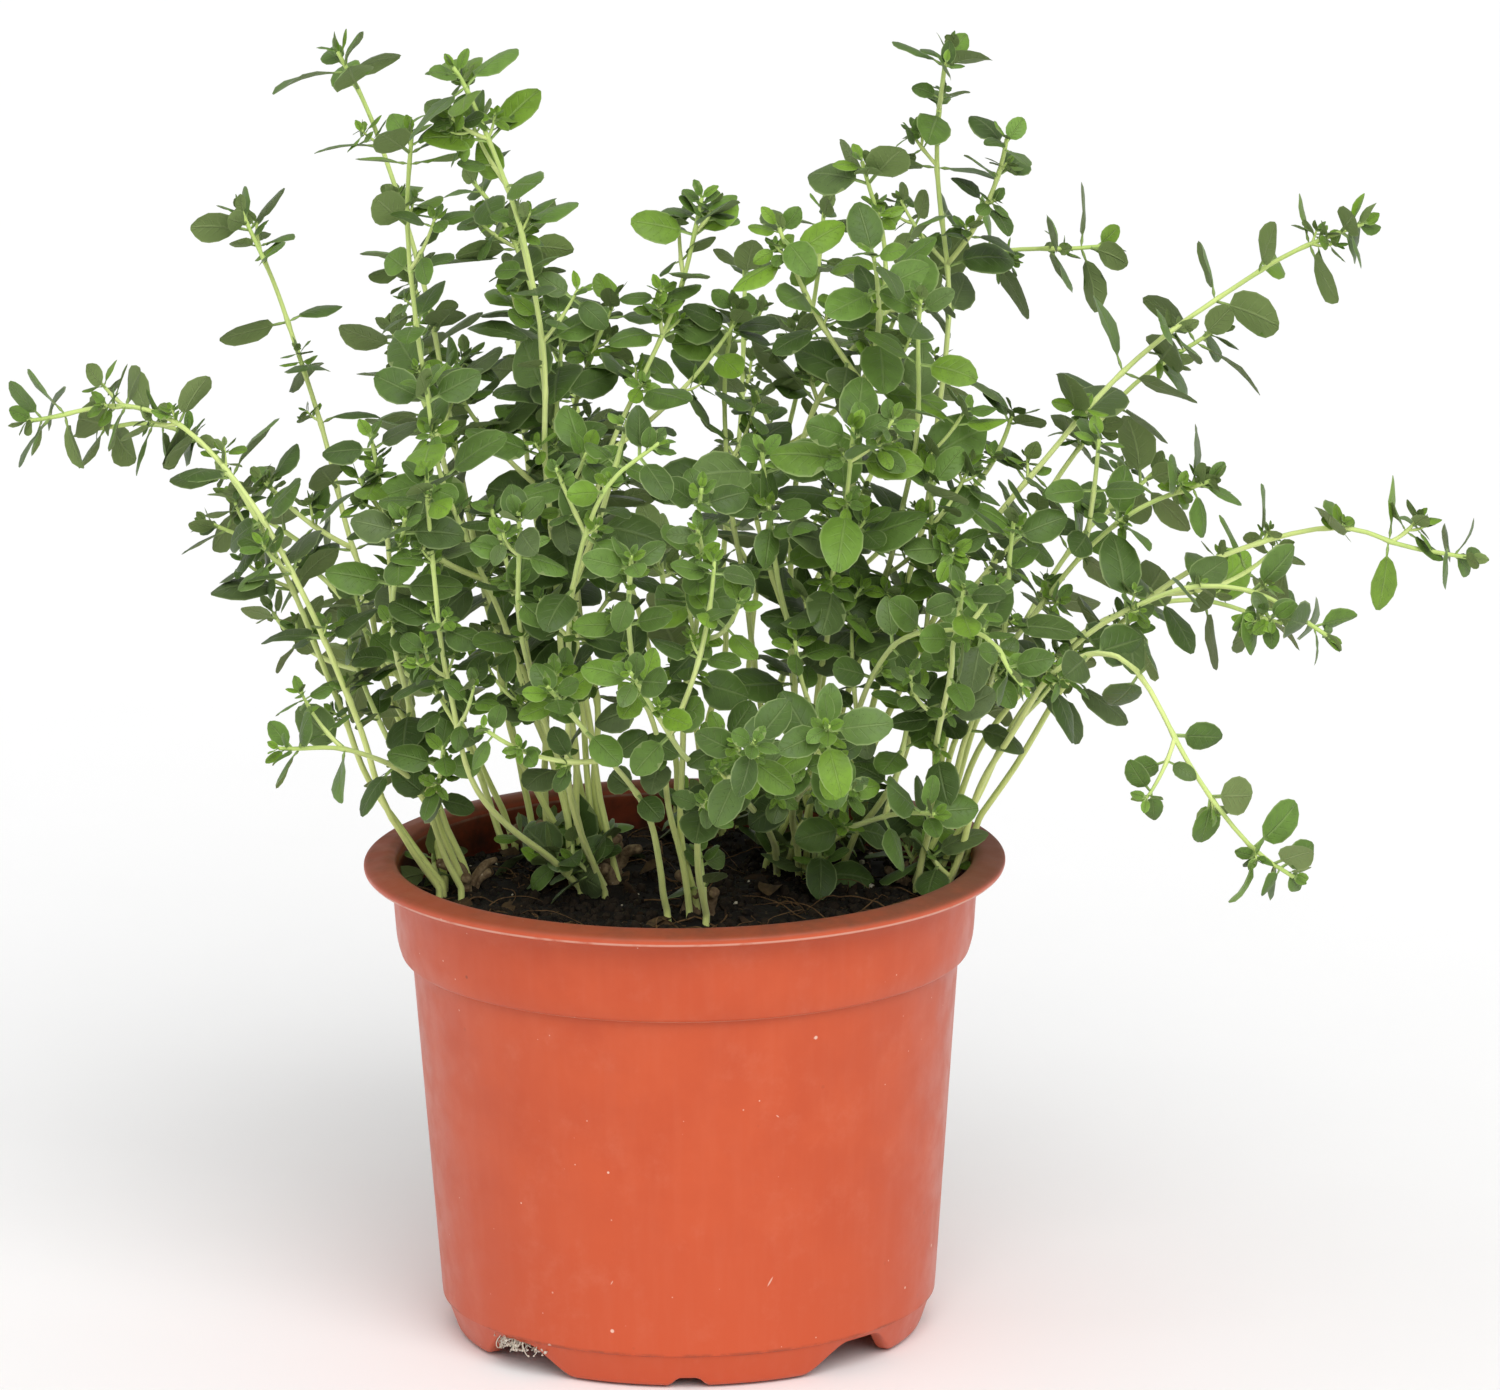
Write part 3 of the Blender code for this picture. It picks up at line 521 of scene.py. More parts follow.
@dataclass(frozen=True)
class LeafGrid:
    """The leaf's surface: an upper and a lower sheet that share their rim.

    A point of the upper sheet is given by t, from 0 at the stem to 1 at the tip, and s, from -1 to 1
    across. The middle line bends down evenly from the petiole on. The half width is that of the thin
    petiole up to petiole_share, and then W (1 - |2 u^0.88 - 1|^2.1)^0.62, with u from 0 to 1 along
    the blade. Across the blade the sheet is folded up like a shallow V, turned down again at its
    margin, and waved a little.
    """

    rows: tuple[float, ...]
    columns: int
    petiole_share: float = 0.2
    petiole_half: float = 0.33
    thickness: float = 0.16
    tip_share: float = 0.16

    def half_width(self, t: Array, width: Array, length: Array) -> Array:
        """Half widths at the rows of each leaf, of shape (leaves, rows)."""
        u = np.clip((t - self.petiole_share) / (1.0 - self.petiole_share), 0.0, 1.0)
        blade = (1.0 - np.abs(2.0 * u**0.88 - 1.0) ** 2.1) ** 0.62
        blade = np.maximum(blade, np.where(t >= 1.0, self.tip_share, 0.0))
        petiole = self.petiole_half * np.clip(length / 9.0, 0.35, 1.1)
        return np.maximum(width[:, None] / 2 * blade[None, :], petiole[:, None])

    def add(self, mesh: PieceMesh, batch: LeafBatch) -> None:
        """Adds every leaf of a batch to a piece."""
        if not batch.places:
            return
        t = np.array(self.rows)
        s = np.linspace(-1.0, 1.0, self.columns + 1)
        root, out, up = np.array(batch.places).transpose(1, 0, 2)
        length, width, droop, fold, twist, age, chance = np.array(batch.numbers).T
        out = unit(out)
        up = square_to(up, out)
        across = np.cross(up, out)
        bend = droop[:, None] * np.clip(t - 0.12, 0.0, None)[None, :] ** 1.15
        forward = np.cos(bend)[..., None] * out[:, None] - np.sin(bend)[..., None] * up[:, None]
        normal = np.cos(bend)[..., None] * up[:, None] + np.sin(bend)[..., None] * out[:, None]
        steps = (forward[:, 1:] + forward[:, :-1]) / 2 * np.diff(t)[None, :, None] * length[:, None, None]
        passed = np.concatenate([np.zeros_like(steps[:, :1]), np.cumsum(steps, axis=1)], axis=1)
        middle = root[:, None] + passed
        turn = (twist[:, None] * t[None, :])[..., None]
        sideways = np.cos(turn) * across[:, None] + np.sin(turn) * normal
        normal = np.cos(turn) * normal - np.sin(turn) * across[:, None]
        half = self.half_width(t, width, length)
        blade = smooth_step(t, self.petiole_share, self.petiole_share + 0.15)
        wave = np.sin(2.0 * math.pi * (1.4 * t[None, :] + chance[:, None]))[..., None] * s * 0.07
        rise = fold[:, None, None] * np.abs(s) ** 1.5 - 0.16 * np.abs(s) ** 5
        lift = half[..., None] * blade[None, :, None] * (rise + wave)
        centre = middle[:, :, None] + sideways[:, :, None] * (half[..., None] * s)[..., None]
        centre = centre + normal[:, :, None] * lift[..., None]
        thick = self.thickness * np.where(t < self.petiole_share, 1.9, 1.0)
        thick = thick[None, :, None] * np.clip(length / 10.0, 0.4, 1.1)[:, None, None] * (1.0 - s**2)
        thick = np.where((t == 0.0) | (t == 1.0), 0.0, 1.0)[None, :, None] * thick
        upper = centre + normal[:, :, None] * thick[..., None]
        lower = centre - normal[:, :, None] * thick[..., None]
        self.add_sheets(mesh, upper, lower, age, chance)

    def add_sheets(self, mesh: PieceMesh, upper: Array, lower: Array, age: Array, chance: Array) -> None:
        """Adds the upper sheets, and the lower ones with the rim's points shared."""
        leaves, rows, columns, _ = upper.shape
        inner = lower[:, 1:-1, 1:-1].reshape(leaves, -1, 3)
        points = np.concatenate([upper.reshape(leaves, -1, 3), inner], axis=1)
        start = mesh.add_points(points)
        top = np.arange(rows * columns).reshape(rows, columns)
        bottom = top.copy()
        bottom[1:-1, 1:-1] = rows * columns + np.arange(inner.shape[1]).reshape(rows - 2, columns - 2)
        grid = grid_faces(rows, columns, False)
        firsts = start + np.arange(leaves)[:, None, None] * points.shape[1]
        u = np.array(self.rows)[grid // columns]
        v = (grid % columns) / (columns - 1.0)
        uv = np.stack([u, v], axis=-1)
        count = len(grid)
        ages, chances = np.repeat(age, count), np.repeat(chance, count)
        for below, sheet in ((0.0, top), (1.0, bottom)):
            faces = sheet.ravel()[grid]
            corner_uv = uv
            if below:
                faces, corner_uv = faces[:, ::-1], uv[:, ::-1]
            all_uv = np.tile(corner_uv, (leaves, 1, 1))
            all_faces = (firsts + faces[None]).reshape(-1, 4)
            mesh.add_faces(all_faces, all_uv, age=ages, chance=chances, under=below)


LEAF_SHARP = 55.0  # degrees
BLADE = LeafGrid((0.0, 0.1, 0.2, 0.28, 0.42, 0.6, 0.77, 0.91, 1.0), 4)
SMALL_BLADE = LeafGrid((0.0, 0.16, 0.3, 0.52, 0.8, 1.0), 2, petiole_share=0.12)
SMALL_LEAF = 4.6  # a shorter leaf than this gets the coarser grid


# Sprigs


@dataclass(frozen=True)
class ShootOrder:
    """Habits of a shoot: the main stem, a side shoot from it, or a tuft in a leaf's angle."""

    bare: float  # leafless length at the shoot's start
    step: float  # distance between pairs at the start, and what is left of it at the tip
    step_tip: float
    leaf: float  # length of a full leaf
    lost: float  # share of the oldest leaves that have fallen
    age: float  # age of its oldest leaf
    half: float  # half width of the stem at its start
    taper: float = 0.7  # what is left of that at the tip
    reach: tuple[float, float] = (0.0, 0.0)  # shortest and longest; a main stem follows its route
    tufted: float = 0.3  # chance that a leaf's angle holds a tuft or a longer shoot
    tip_pairs: int = 3  # pairs of leaves in the rosette
    samples: int = 16  # along its centre line
    tube: TubeShape = TubeShape(sides=6, power=2.6)


MAIN_STEM = ShootOrder(
    bare=55.0,
    step=16.5,
    step_tip=9.6,
    leaf=12.4,
    lost=0.88,
    age=1.0,
    half=0.66,
    taper=0.38 / 0.66,
    tufted=0.5,
    tip_pairs=4,
    samples=92,
    tube=TubeShape(sides=8, power=3.4),
)
BRANCH = ShootOrder(
    bare=7.0, step=10.5, step_tip=6.5, leaf=9.8, lost=0.1, age=0.7, half=0.55, reach=(22.0, 38.0)
)
LOW_SHOOT = ShootOrder(
    bare=4.0, step=6.5, step_tip=6.0, leaf=11.0, lost=0.1, age=0.95, half=0.5, reach=(5.0, 13.0)
)
SIDE_SHOOT = ShootOrder(
    bare=4.0, step=7.0, step_tip=4.5, leaf=7.4, lost=0.05, age=0.45, half=0.42, reach=(9.0, 22.0)
)
TUFT = ShootOrder(
    bare=1.3, step=2.1, step_tip=1.3, leaf=4.3, lost=0.0, age=0.2, half=0.26, reach=(1.6, 4.6), samples=6
)

ROOT_DEPTH = 8.0  # how far below the soil's surface a stem starts
BEND = 0.9  # how far a stem wanders off its route
BEND_CELL = 19.0  # over what length it does
ARCH = 3.4  # how much further it arches, at what height above its foot, and over what span
ARCH_RISE = 30.0
ARCH_SPAN = 16.0
LOW_SHOOT_CHANCE = 0.65
LOW_SHOOT_ROWS = (5, 11)  # samples of the stem between which a low shoot starts
LOW_SHOOT_ROOM = 6.0  # room beyond its tip for leaves
LOW_SHOOT_RADIUS = 50.0  # it stays inside the lip
NODE_SWELL = 0.28  # how much thicker a stem is at a node
NODE_SPAN = 0.9
NODE_TURN_SPREAD = 0.16
BRANCH_CHANCE = 0.1  # in a main stem's leaf angle, in the crowd
BRANCH_SPAN = (0.3, 0.8)  # share of a main stem's length that has branches
SIDE_SHOOT_CHANCE = 0.08  # outside the crowd, and what the crowd adds
SIDE_SHOOT_CROWD = 0.18
CROWD_RADII = (42.0, 80.0)  # distance from the pot's axis at which the crowd starts to thin, and ends
LEAF_RISE = 0.3  # angle by which a leaf leans towards the tip, in radians
LEAF_SPREAD = 0.24  # how much that and the sway sideways differ
FACE_SPREAD = 0.26
LIGHT_FRONT = 16.0  # the light comes from outside, and from the front more than the back
LIGHT_RISE = 12.0


@dataclass
class SprigGrower:
    """Grows one sprig: its stems in one piece, and all its leaves in another."""

    seed: int
    turn: float
    axis: Array
    vigour: float  # how large its leaves are
    leaves: LeafBatch = field(default_factory=LeafBatch)
    small: LeafBatch = field(default_factory=LeafBatch)

    def __post_init__(self) -> None:
        """Starts the stems' piece, and the sprig's own sequence of random numbers."""
        self.stems = PieceMesh(self.axis)
        self.rng = np.random.default_rng(self.seed)
        self.vigour *= float(self.rng.uniform(0.86, 1.14))
        self.youth = float(self.rng.uniform(-0.05, 0.4))

    def grow_main(self, route: Array, short: int) -> None:
        """Grows the rooted stem along its route, from under the soil, and ends it a few steps short."""
        root = route[:1] - np.array([[0.0, 0.0, ROOT_DEPTH]])
        path = resample(np.vstack([root, route]), MAIN_STEM.samples)
        path = path[: len(path) - short]
        _, side, other = path_frames(path)
        rise = path[:, 2] - path[0, 2]
        arch = ARCH * np.exp(-(((rise - ARCH_RISE) / ARCH_SPAN) ** 2))
        for way, offset in ((side, 17.0), (other, 31.0)):
            bend = value_noise(path + self.seed * offset, BEND_CELL, self.seed)
            wide_bend = value_noise(path + self.seed * offset, 2.0 * BEND_CELL, self.seed + 1)
            path = path + way * (BEND * bend + arch * wide_bend)[:, None]
        self.grow(path, MAIN_STEM, self.turn)
        if self.rng.random() < LOW_SHOOT_CHANCE:
            self.grow_low_shoot(path)

    def grow_low_shoot(self, path: Array) -> None:
        """Grows a short shoot from near the stem's foot, out over the soil."""
        row = int(self.rng.integers(*LOW_SHOOT_ROWS))
        direction = unit(path[row + 1] - path[row])
        heading = self.rng.uniform(0.0, 2.0 * math.pi)
        side = square_to(np.array([math.cos(heading), math.sin(heading), 0.1]), direction)
        reach = self.rng.uniform(*LOW_SHOOT.reach)
        end = path[row] + side * (reach + LOW_SHOOT_ROOM)
        if np.hypot(*end[:2]) < LOW_SHOOT_RADIUS:
            self.grow_shoot(path[row], direction * 0.35, side, reach, LOW_SHOOT)

    def grow(self, path: Array, order: ShootOrder, turn: float) -> None:
        """Grows one shoot with its pairs of leaves, and the next order of shoots from its nodes.

        Args:
            path: The shoot's centre line, in millimetres.
            order: Its habits.
            turn: Angle of its first pair of leaves about the stem.
        """
        along = distances(path)
        length = along[-1]
        direction, side, other = path_frames(path)
        places = self.node_places(length, order)
        share = along / length
        tip = order.half * order.taper
        half = order.half + (tip - order.half) * share**0.8
        swell = sum(np.exp(-(((along - place) / NODE_SPAN) ** 2)) for place in places)
        half = half * (1.0 + NODE_SWELL * swell)
        ages = order.age * (1.0 - share[:-1])
        order.tube.add(self.stems, path, half, turn, age=ages, chance=float(self.rng.random()))
        for index, place in enumerate(places):
            at = np.array([np.interp(place, along, path[:, axis]) for axis in range(3)])
            row = int(np.clip(np.searchsorted(along, place), 1, len(path) - 1))
            angle = turn + index * math.pi / 2 + self.rng.normal(0.0, NODE_TURN_SPREAD)
            out = side[row] * math.cos(angle) + other[row] * math.sin(angle)
            self.grow_node(at, direction[row], out, place / length, float(half[row]), order)
        self.grow_tip(path[-1], direction[-1], side[-1], turn + len(places) * math.pi / 2, order)

    def node_places(self, length: float, order: ShootOrder) -> list[float]:
        """Distances of the nodes along a shoot, closer together towards its tip."""
        places = []
        place = min(order.bare, 0.45 * length) * self.rng.uniform(0.75, 1.2)
        while place < length - order.step_tip * 0.6:
            places.append(place)
            step = order.step + (order.step_tip - order.step) * place / length
            place += step * self.rng.uniform(0.82, 1.18)
        return places

    def grow_node(
        self, at: Array, direction: Array, out: Array, share: float, half: float, order: ShootOrder
    ) -> None:
        """Grows a pair of leaves, and a shoot or a tuft in the angle of each. Shoots are fewer where
        the stem has left the crowd."""
        age = order.age * min(1.0, 1.15 * (1.0 - share) ** 0.6) - self.youth * share
        crowd = 1.0 - 0.8 * float(smooth_step(np.hypot(at[0], at[1]), *CROWD_RADII))
        for sign in (1.0, -1.0):
            side = out * sign
            if self.rng.random() > order.lost * (1.0 - share) ** 2:
                size = order.leaf * (0.86 + 0.2 * math.sin(math.pi * share**1.4))
                self.grow_leaf(at + side * half * 0.6, direction, side, size, age, LEAF_RISE)
            if order is TUFT:
                continue
            chance = self.rng.random()
            start = at + side * half * 0.5 + direction * 0.6
            branches = order is MAIN_STEM and BRANCH_SPAN[0] < share < BRANCH_SPAN[1]
            if branches and chance < BRANCH_CHANCE * crowd:
                self.grow_shoot(start, direction, side, self.rng.uniform(*BRANCH.reach), BRANCH)
            elif order is MAIN_STEM and chance < SIDE_SHOOT_CHANCE + SIDE_SHOOT_CROWD * crowd:
                reach = self.rng.uniform(*SIDE_SHOOT.reach) * (1.0 - 0.4 * share)
                self.grow_shoot(start, direction, side, reach, SIDE_SHOOT)
            elif chance < order.tufted:
                self.grow_shoot(start, direction, side, self.rng.uniform(*TUFT.reach), TUFT)

    def grow_shoot(
        self, start: Array, direction: Array, side: Array, reach: float, order: ShootOrder
    ) -> None:
        """Grows a shoot out of a leaf's angle, along a quadratic curve that turns upwards."""
        lean = unit(side * 0.8 + direction * 0.75)
        goal = unit(side * 0.45 + direction * 0.6 + UP * 0.45 + self.rng.normal(0.0, 0.16, 3))
        middle = start + lean * reach * 0.5
        end = middle + goal * reach * 0.5
        t = np.linspace(0.0, 1.0, order.samples)[:, None]
        path = start * (1 - t) ** 2 + middle * 2 * t * (1 - t) + end * t**2
        self.grow(path, order, float(self.rng.uniform(0.0, math.pi)))

    def grow_leaf(
        self, root: Array, direction: Array, side: Array, length: float, age: float, rise: float
    ) -> None:
        """Adds one leaf. Its face looks along the stem, and part of the way up and outwards, to where
        the light comes from."""
        length = length * self.vigour * float(self.rng.uniform(0.82, 1.18))
        rise = rise + self.rng.normal(0.0, LEAF_SPREAD)
        sway = np.cross(direction, side) * self.rng.normal(0.0, LEAF_SPREAD)
        out = unit(side * math.cos(rise) + direction * math.sin(rise) + sway)
        outwards = unit(np.array([root[0], root[1] - LIGHT_FRONT, LIGHT_RISE]))
        light = square_to(unit(UP * 0.5 + outwards * 0.8), out)
        scatter = self.rng.normal(0.0, FACE_SPREAD, 3)
        face = square_to(direction, out) * 0.42 + light * 0.58 + scatter
        batch = self.small if length < SMALL_LEAF else self.leaves
        batch.add(
            root,
            out,
            face,
            length=length,
            width=length * float(self.rng.uniform(0.5, 0.64) + 0.05 * age),
            droop=float(self.rng.normal(0.25 + 0.45 * age, 0.28)),
            fold=float(self.rng.uniform(-0.18, 0.32)),
            twist=float(self.rng.normal(0.0, 0.22)),
            age=float(np.clip(age + self.rng.normal(0.0, 0.12), 0.0, 1.0)),
            chance=float(self.rng.random()),
        )

    def grow_tip(self, at: Array, direction: Array, side: Array, turn: float, order: ShootOrder) -> None:
        """Grows the rosette at a shoot's tip: pairs that shrink and close up towards the bud."""
        pairs = order.tip_pairs
        other = np.cross(direction, side)
        for index in range(pairs):
            angle = turn + index * math.pi / 2
            out = side * math.cos(angle) + other * math.sin(angle)
            size = order.leaf * 0.96 * 0.66**index
            rise = 0.35 + 0.3 * index
            root = at - direction * (2.6 * (pairs - 1 - index) * order.leaf / 22.0)
            for sign in (1.0, -1.0):
                age = (min(order.age, 0.55) - 0.5 * self.youth) * (1.0 - index / pairs) ** 1.8
                self.grow_leaf(root, direction, out * sign, size, age, rise)

    def pieces(self, name: str, finishes: Finishes) -> list[bpy.types.Object]:
        """Makes the sprig's two pieces.

        Args:
            name: The sprig's own name, such as left_01.
            finishes: The plant's materials.

        Returns:
            The stems and the leaves.
        """
        blades = PieceMesh(self.axis)
        BLADE.add(blades, self.leaves)
        SMALL_BLADE.add(blades, self.small)
        stems = self.stems.to_object(f"stems_{name}", finishes["thyme_stem"])
        leaves = blades.to_object(f"leaves_{name}", finishes["thyme_leaf"], sharp=LEAF_SHARP)
        return [stems, leaves]


# The pot


def rounded(corners: list[tuple[float, float, float]], steps: int) -> Array:
    """A line through corners of (radius, height, rounding): each corner is replaced by a quadratic
    curve that leaves and joins the line at the rounding's distance from it.

    Args:
        corners: The corners in order. The first and the last aren't rounded.
        steps: How many stretches each curve has.

    Returns:
        Points of (radius, height).
    """
    places = np.array([corner[:2] for corner in corners])
    t = np.linspace(0.0, 1.0, steps + 1)[:, None]
    line = [places[:1]]
    for before, here, after, (_, _, size) in zip(places, places[1:], places[2:], corners[1:-1]):
        start = here + unit(before - here) * min(size, np.linalg.norm(before - here) * 0.49)
        end = here + unit(after - here) * min(size, np.linalg.norm(after - here) * 0.49)
        line.append(start * (1 - t) ** 2 + here * 2 * t * (1 - t) + end * t**2)
    return np.vstack([*line, places[-1:]])


@dataclass
class Pot:
    """The thin moulded pot: a turned wall with a rolled lip and a band, on a base with four feet.

    The profile is turned round the axis. Below foot_height a point's height is h, and it becomes
    low + (foot_height - low) h / foot_height, where low is how far the ring of feet is cut away at
    that angle: nearly all of it between two feet, and a little in the notch at each foot's middle.
    """

    axis: Array
    lip_radius: float
    height: float
    turns: int = 360
    wall: float = 1.1
    rim_inset: float = 4.5  # from the lip's outer edge to the top of the rim
    band_top_inset: float = 5.3
    band_foot_inset: float = 6.0
    band_foot_height: float = 75.4
    body_top_inset: float = 8.8
    body_top_height: float = 72.0
    body_foot_inset: float = 13.5
    foot_height: float = 6.5
    foot_top_inset: float = 14.1
    foot_inset: float = 16.4
    foot_width: float = 2.8
    base_height: float = 6.0
    feet: int = 4
    foot_half_angles: tuple[float, float] = (29.0, 41.0)  # at the ground and at the top, in degrees
    gap_height: float = 5.7
    notch_half_angles: tuple[float, float] = (2.0, 5.1)
    notch_height: float = 1.6
    drain_rings: tuple[tuple[float, float], ...] = ((36.0, 45.0), (16.0, 0.0))
    drain_radius: float = 4.0

    def profile(self) -> Array:
        """Points of (radius, height), from the underside's middle out to the feet, up and back in."""
        edge, top = self.lip_radius, self.height
        foot, foot_top = edge - self.foot_inset, edge - self.foot_top_inset
        body_foot, body_top = edge - self.body_foot_inset, edge - self.body_top_inset
        band_foot, band_top = edge - self.band_foot_inset, edge - self.band_top_inset
        floor = self.base_height + self.wall
        corners = [
            (0.0, self.base_height, 0.0),
            (foot_top - self.foot_width - 6.0, self.base_height, 0.5),
            (foot_top - self.foot_width, self.base_height, 0.6),
            (foot - self.foot_width, 0.0, 0.5),
            (foot, 0.0, 1.1),
            (foot_top, self.foot_height, 0.15),
            (body_foot - 0.1, self.foot_height + 0.1, 0.15),
            (body_foot, self.foot_height + 1.0, 0.5),
            (body_top, self.body_top_height, 0.25),
            (band_foot - 0.9, self.body_top_height + 0.5, 0.7),
            (band_foot, self.band_foot_height, 1.8),
            (band_top, top - 5.8, 0.9),
            (band_top + 0.3, top - 4.6, 0.8),
            (band_top + 1.1, top - 2.9, 0.8),
            (edge - 0.5, top - 2.65, 0.25),
            (edge - 0.15, top - 2.3, 0.2),
            (edge, top - 1.9, 0.3),
            (edge, top - 1.2, 0.4),
            (edge - 0.7, top - 0.75, 0.5),
            (edge - self.rim_inset, top, 0.9),
            (band_top - self.wall + 0.5, top - 0.5, 0.5),
            (band_top - self.wall, top - 2.2, 0.8),
            (band_foot - self.wall, self.band_foot_height, 1.2),
            (body_top - self.wall, self.body_top_height, 0.8),
            (body_foot - self.wall, floor, 1.6),
            (0.0, floor, 0.0),
        ]
        return rounded(corners, 4)

    def cut_away(self, angle: Array) -> Array:
        """How high the ring of feet is cut away at each angle."""
        step = 2.0 * math.pi / self.feet
        off = np.degrees(np.abs((angle + math.pi / 2 + step / 2) % step - step / 2))
        gap = self.gap_height * smooth_step(off, *self.foot_half_angles)
        notch = self.notch_height * (1.0 - smooth_step(off, *self.notch_half_angles))
        return gap + notch

    def build(self, finish: bpy.types.Material) -> bpy.types.Object:
        """Makes the pot, with its drain holes drilled."""
        line = self.profile()[1:-1]
        angle = np.linspace(0.0, 2.0 * math.pi, self.turns, endpoint=False)
        low = self.cut_away(angle)[None, :]
        radius, height = line[:, :1], line[:, 1:]
        outer = np.arange(len(line))[:, None] < len(line) * 0.6
        share = height / self.foot_height
        height = np.where((share < 1.0) & outer, low + (self.foot_height - low) * share, height)
        lift = np.where(outer, height - line[:, 1:], 0.0)
        lean = (self.foot_inset - self.foot_top_inset) / self.foot_height
        in_ring = (radius > self.lip_radius - self.foot_inset - self.foot_width - 2.0) & outer
        radius = radius + np.where(in_ring & (share < 1.0), lift * lean, 0.0)
        ring = np.stack([radius * np.cos(angle), radius * np.sin(angle), height + 0.0 * angle], axis=-1)
        mesh = PieceMesh(self.axis)
        first = mesh.add_points(ring)
        poles = mesh.add_points(np.array([[0.0, 0.0, self.base_height], [0.0, 0.0, self.profile()[-1, 1]]]))
        mesh.add_faces(grid_faces(len(line), self.turns, True)[:, ::-1] + first)
        steps = np.arange(self.turns)
        mesh.add_faces(fan_faces(poles, first + steps, False))
        mesh.add_faces(fan_faces(poles + 1, first + (len(line) - 1) * self.turns + steps, True))
        pot = mesh.to_object("pot_body", finish, sharp=50.0)
        self.drill(pot)
        return pot

    def drill(self, pot: bpy.types.Object) -> None:
        """Cuts the drain holes out of the base with a Boolean, and applies it."""
        holes = PieceMesh(self.axis)
        around = np.linspace(0.0, 2.0 * math.pi, 28, endpoint=False)
        middle = self.base_height + self.wall / 2
        for ring_radius, first_angle in self.drain_rings:
            for index in range(4):
                at = math.radians(first_angle) + index * math.pi / 2
                x = ring_radius * math.cos(at) + self.drain_radius * np.cos(around)
                y = ring_radius * math.sin(at) + self.drain_radius * np.sin(around)
                rows = [np.stack([x, y, np.full_like(x, middle + z)], axis=-1) for z in (-3.0, 3.0)]
                start = holes.add_points(np.array(rows))
                count = len(around)
                holes.add_faces(grid_faces(2, count, True)[:, ::-1] + start)
                holes.add_faces((start + np.arange(count))[::-1][None])
                holes.add_faces((start + count + np.arange(count))[None])
        cutter = holes.to_object("drain_holes", pot.data.materials[0])
        boolean = pot.modifiers.new("drain holes", "BOOLEAN")
        boolean.operation = "DIFFERENCE"
        boolean.solver = "EXACT"
        boolean.object = cutter
        graph = bpy.context.evaluated_depsgraph_get()
        drilled = bpy.data.meshes.new_from_object(pot.evaluated_get(graph))
        pot.modifiers.clear()
        pot.data = drilled
        bpy.data.objects.remove(cutter, do_unlink=True)
        drilled.shade_smooth()
        drilled.set_sharp_from_angle(angle=math.radians(50.0))


# The soil and what lies in it


@dataclass(frozen=True)
class LumpShape:
    """A small rough ball: rings of points between two poles, each moved in or out by chance."""

    rings: int = 4
    columns: int = 6

    def ball(self) -> Array:
        """Points of a ball of radius 1: the rings first, and then the two poles."""
        polar = np.arange(1, self.rings + 1) * math.pi / (self.rings + 1)
        around = np.arange(self.columns) * 2.0 * math.pi / self.columns
        x = np.sin(polar)[:, None] * np.cos(around)
        y = np.sin(polar)[:, None] * np.sin(around)
        z = np.cos(polar)[:, None] + 0.0 * around
        rings = np.stack([x, y, z], axis=-1).reshape(-1, 3)
        return np.vstack([rings, [[0.0, 0.0, 1.0], [0.0, 0.0, -1.0]]])

    def add(
        self, mesh: PieceMesh, places: Array, sizes: Array, roughness: float, rng: np.random.Generator
    ) -> None:
        """Adds one lump at each place.

        Args:
            mesh: The piece that they belong to.
            places: Their middles, of shape (lumps, 3).
            sizes: Their three half sizes, of shape (lumps, 3).
            roughness: How far points move in or out, as a share of the half size.
            rng: The random numbers that turn and dent them.
        """
        ball = self.ball()
        lumps, points = len(places), len(ball)
        dent = 1.0 + rng.uniform(-roughness, roughness, (lumps, points, 1))
        shapes = ball[None] * dent * sizes[:, None]
        turns = random_turns(lumps, rng)
        shapes = np.einsum("nij,npj->npi", turns, shapes) + places[:, None]
        start = mesh.add_points(shapes)
        firsts = (start + np.arange(lumps) * points)[:, None, None]
        chance = rng.random(lumps)
        quads = grid_faces(self.rings, self.columns, True)
        ring = np.arange(self.columns)
        top = fan_faces(points - 2, ring, True)
        bottom = fan_faces(points - 1, (self.rings - 1) * self.columns + ring, False)
        for faces in (quads, np.vstack([top, bottom])):
            each = (firsts + faces[None]).reshape(-1, faces.shape[1])
            mesh.add_faces(each, chance=np.repeat(chance, len(faces)))


def random_turns(count: int, rng: np.random.Generator) -> Array:
    """Turning matrices, from random unit quaternions."""
    w, x, y, z = unit(rng.normal(size=(count, 4))).T
    rows = [
        [1 - 2 * (y * y + z * z), 2 * (x * y - z * w), 2 * (x * z + y * w)],
        [2 * (x * y + z * w), 1 - 2 * (x * x + z * z), 2 * (y * z - x * w)],
        [2 * (x * z - y * w), 2 * (y * z + x * w), 1 - 2 * (x * x + y * y)],
    ]
    return np.array(rows).transpose(2, 0, 1)


